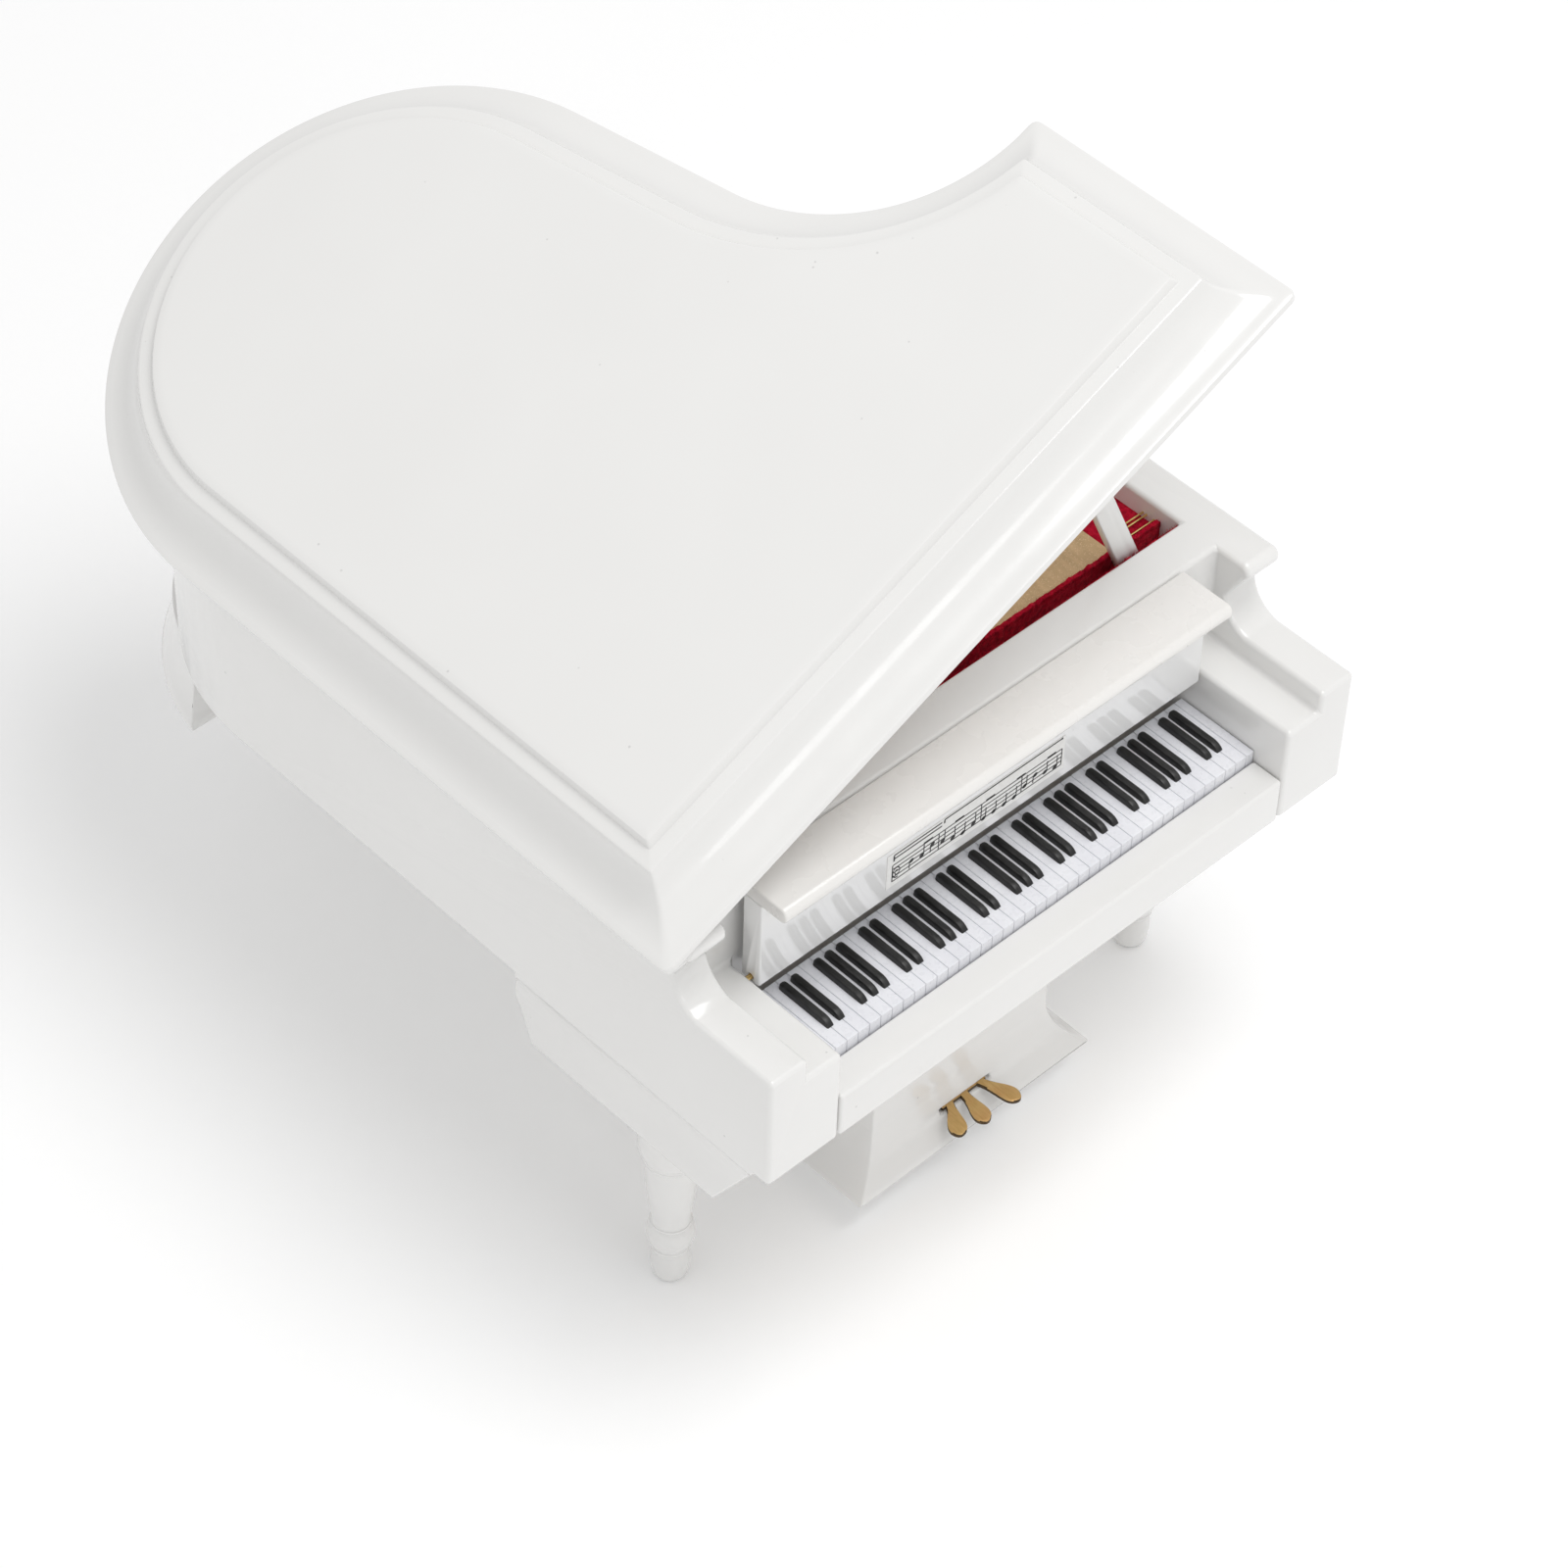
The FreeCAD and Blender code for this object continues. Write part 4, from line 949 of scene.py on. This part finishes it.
def make_tufts():
    """Loose pile fibres that stand up along the two cut edges of the lining."""
    lowest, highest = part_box("velvet_strip")
    x0, x1, y0, y1, _, z1 = VELVET_BAND
    random.seed(SEED)
    made = bmesh.new()
    band_low, band_high = at(x0, y0, 0), at(x1, y1, z1)
    for front, back, top in ((lowest.y, highest.y, highest.z), (band_low.y, band_high.y, band_high.z)):
        for _ in range(TUFT_COUNT):
            add_tuft(made, random.uniform(band_low.x, band_high.x), front, back, top - TUFT_ROOT)
    return new_piece("velvet_edge_fibres", made, VELVET, "case", "red_velvet")


def add_tuft(made, x, front, back, z):
    """One tapering fibre with a random lean that stays between two planes."""
    y = random.uniform(front, back)
    tall = random.uniform(*TUFT_LENGTHS) * MM
    lean = Vector((random.uniform(-0.4, 0.4), random.uniform(-0.45, 0.3), 1.0)).normalized() * tall
    half = random.uniform(*TUFT_HALVES) * MM
    turn = random.uniform(0, math.pi)
    lean.y = min(max(lean.y, front - y), back - y)
    side = Vector((math.cos(turn), math.sin(turn), 0)) * half
    base = Vector((x, y, z))
    across = Vector((-side.y, side.x, 0))
    ring = add_ring(made, [base + side, base + across, base - side, base - across])
    tip = made.verts.new(base + lean)
    for i in range(4):
        made.faces.new((ring[i], ring[(i + 1) % 4], tip))
    made.faces.new(ring[::-1])


def make_velvet_band():
    """A folded edge of the lining between the top rail and the prop's foot, with a ragged upper edge."""
    x0, x1, y0, y1, z0, z1 = VELVET_BAND
    columns = int((x1 - x0) * MM / VELVET_CELL)
    rings = []
    for column in range(columns + 1):
        x = x0 + (x1 - x0) * column / columns
        point = at(x, y1, z1)
        top = z1 + ruffled(point, 0.5, 900.0)
        thin = ruffled(point + Vector((0.0, 0.0, 3.0)), 0.12, 1300.0)
        rings.append([
            at(x, y0, z0), at(x, y1, z0), at(x, y1 - 0.12 + thin, top - 2.0),
            at(x, y1 - 0.15 + thin, top - 0.4), at(x, y1 - 0.35, top),
            at(x, y0 + 0.25, top), at(x, y0, top - 0.3),
        ])
    band = new_piece("velvet_band_pile", lofted(rings), VELVET, "case", "red_velvet")
    return smooth(band, 60.0)


def make_velvet_floor():
    """The velvet under the harp plate."""
    made = clean(node_mesh("velvet_floor"))
    return new_piece("velvet_floor_pile", made, VELVET, "case", "red_velvet", "velvet_floor")


# ---------------------------------------------------------------- pedals


# Each pedal seen from above, in millimetres from the middle of the case: root x, tip x and tip y
PEDALS = [(-3.6, -6.68, 13.4), (-0.25, -1.2, 12.45), (3.55, 6.45, 12.3)]
PEDAL_ROOT_Y = 19.3
PEDAL_HIGH, PEDAL_LOW = -46.45, -47.1
PEDAL_THICK = 0.7
# Half-width along a pedal, from its root (0) to its tip (1)
PEDAL_SHAPE = [
    (0.0, 0.86), (0.18, 0.86), (0.38, 1.12), (0.58, 1.48), (0.74, 1.62), (0.86, 1.42), (0.94, 0.98),
    (0.985, 0.5), (1.0, 0.22),
]
# The crossbar's left, right, front and back
PEDAL_BAR = (-5.3, 4.8, 19.1, 20.2)
PEDAL_CROWN = 0.07
# By this share of its length a pedal has turned from the crossbar's direction to its own
PEDAL_TURN_END = 0.5
# Faces that look up more than this keep the bright brass; all other faces get near-black brass as painted
# shade
PEDAL_UP = 0.8


def make_pedals():
    """Three fanned brass tongues with broad round ends, on one crossbar, with painted shade in near-black
    brass on every face that does not look up.
    """
    made = bmesh.new()
    stations = curve_through(PEDAL_SHAPE, 5)
    for root, tip_x, tip_y in PEDALS:
        axis = Vector((tip_x - root, tip_y - PEDAL_ROOT_Y, 0.0))
        side = Vector((-axis.y, axis.x, 0.0)).normalized()
        rings = []
        for t, half in stations:
            blend = min(1.0, t / PEDAL_TURN_END)
            across = Vector((1.0, 0.0, 0.0)).lerp(side, blend).normalized()
            middle = Vector((root, PEDAL_ROOT_Y, 0.0)) + axis * t
            top = PEDAL_HIGH + (PEDAL_LOW - PEDAL_HIGH) * t ** 1.5
            crown = PEDAL_CROWN * min(1.0, half)
            ring = []
            for share, z in ((-1, -PEDAL_THICK), (1, -PEDAL_THICK), (1, -0.1), (0.86, 0), (0.45, crown),
                             (-0.45, crown), (-0.86, 0), (-1, -0.1)):
                point = middle + across * half * share
                ring.append(at(point.x, point.y, top + z))
            rings.append(ring)
        add_loft(made, rings)
    left, right, front, back = PEDAL_BAR
    add_box(made, at(left, front, PEDAL_HIGH - PEDAL_THICK), at(right, back, PEDAL_HIGH - 0.02))
    pedals = new_piece("brass_pedals", made, PEDAL_BRASS, "case", "brass", "pedal_plate")
    paint(pedals, PEDAL_BRASS, BRASS_PAINTED_SHADE)
    # Faces that do not look up get the near-black brass: painted shade on the sides and undersides
    for face in pedals.data.polygons:
        face.material_index = 1 if face.normal.z < PEDAL_UP else 0
    return smooth(pedals, 40.0)


# ---------------------------------------------------------------- floor, light and camera


FLOOR_SIZE = 3.0
FLOOR_GLOW = 0.04
# Just under the feet
FLOOR_HEIGHT = -0.0002
ROOM_LIGHT = 0.72
LIGHT_TARGET = (0, 0, 0.07)
# Name, place in metres, diameter in metres and power in watts
LIGHTS = [
    ("overhead_softbox", (0.12, -0.35, 1.12), 0.62, 4.6),
    ("front_strip", (-0.06, -0.95, 0.62), 0.24, 0.4),
]
CAMERA_AZIMUTH, CAMERA_ELEVATION, CAMERA_ROLL = -44.93, 46.58, 2.09
CAMERA_TARGET = (-4.71, 60.15, 0.0)
CAMERA_DISTANCE = 0.8111
CAMERA_LENS = 113.02
SENSOR = 36.0


def make_floor():
    """A plain pale floor with a faint glow of its own."""
    bpy.ops.mesh.primitive_plane_add(size=FLOOR_SIZE, location=(0, 0, FLOOR_HEIGHT))
    floor = bpy.context.object
    floor.name = "studio_floor"
    n = Nodes("studio_floor")
    n.link(n.ramp(n.noise(3.0, 2.0), [(0.3, (0.97, 0.97, 0.97)), (0.7, (0.985, 0.985, 0.985))]),
           n.shader.inputs["Base Color"])
    n.set(Roughness=0.9, Specular_IOR_Level=0.1, Emission_Strength=FLOOR_GLOW)
    n.shader.inputs["Emission Color"].default_value = (1.0, 1.0, 1.0, 1.0)
    paint(floor, n.material)


def area_light(name, location, target, size, power):
    """A round soft light that faces the target."""
    light = bpy.data.lights.new(name, "AREA")
    light.shape = "DISK"
    light.size = size
    light.energy = power
    item = bpy.data.objects.new(name, light)
    bpy.context.scene.collection.objects.link(item)
    item.location = location
    item.rotation_euler = (Vector(target) - Vector(location)).to_track_quat("-Z", "Y").to_euler()


def make_light():
    """An even white room, a broad soft light over the keyboard and a small low one that glosses the front."""
    world = bpy.data.worlds.new("studio")
    bpy.context.scene.world = world
    world.use_nodes = True
    background = world.node_tree.nodes["Background"]
    background.inputs["Color"].default_value = (1.0, 1.0, 1.0, 1.0)
    background.inputs["Strength"].default_value = ROOM_LIGHT
    for name, location, size, power in LIGHTS:
        area_light(name, location, LIGHT_TARGET, size, power)
    bpy.context.scene.view_settings.view_transform = "Standard"


def make_camera():
    """A camera that looks at a point on the case from an azimuth, a height and a small roll."""
    camera = bpy.data.objects.new("camera", bpy.data.cameras.new("camera"))
    bpy.context.scene.collection.objects.link(camera)
    a, e, r = (math.radians(v) for v in (CAMERA_AZIMUTH, CAMERA_ELEVATION, CAMERA_ROLL))
    back = Vector((math.sin(a) * math.cos(e), -math.cos(a) * math.cos(e), math.sin(e)))
    right = Vector((math.cos(a), math.sin(a), 0.0))
    up = back.cross(right)
    right, up = right * math.cos(r) + up * math.sin(r), up * math.cos(r) - right * math.sin(r)
    turn = Matrix((right, up, back)).transposed()
    camera.matrix_world = Matrix.Translation(at(*CAMERA_TARGET) + back * CAMERA_DISTANCE) @ turn.to_4x4()
    camera.data.sensor_width = SENSOR
    camera.data.lens = CAMERA_LENS
    camera.data.clip_start, camera.data.clip_end = 0.05, 10.0
    bpy.context.scene.camera = camera


# ---------------------------------------------------------------- build


make_camera()
make_light()
make_floor()
make_case()
make_case_parts()
make_lid()
make_leg_block("left_leg_block_painted", "left_leg_block", -1)
make_leg_block("right_leg_block_painted", "right_leg_block", 1)
make_leg("turned_leg_front_left", "front_left_leg")
make_leg("turned_leg_front_right", "front_right_leg")
make_leg("turned_leg_tail", "tail_leg")
make_white_keys()
make_sharps()
make_music()
make_velvet_strip()
make_velvet_band()
make_tufts()
make_velvet_floor()
make_pedals()
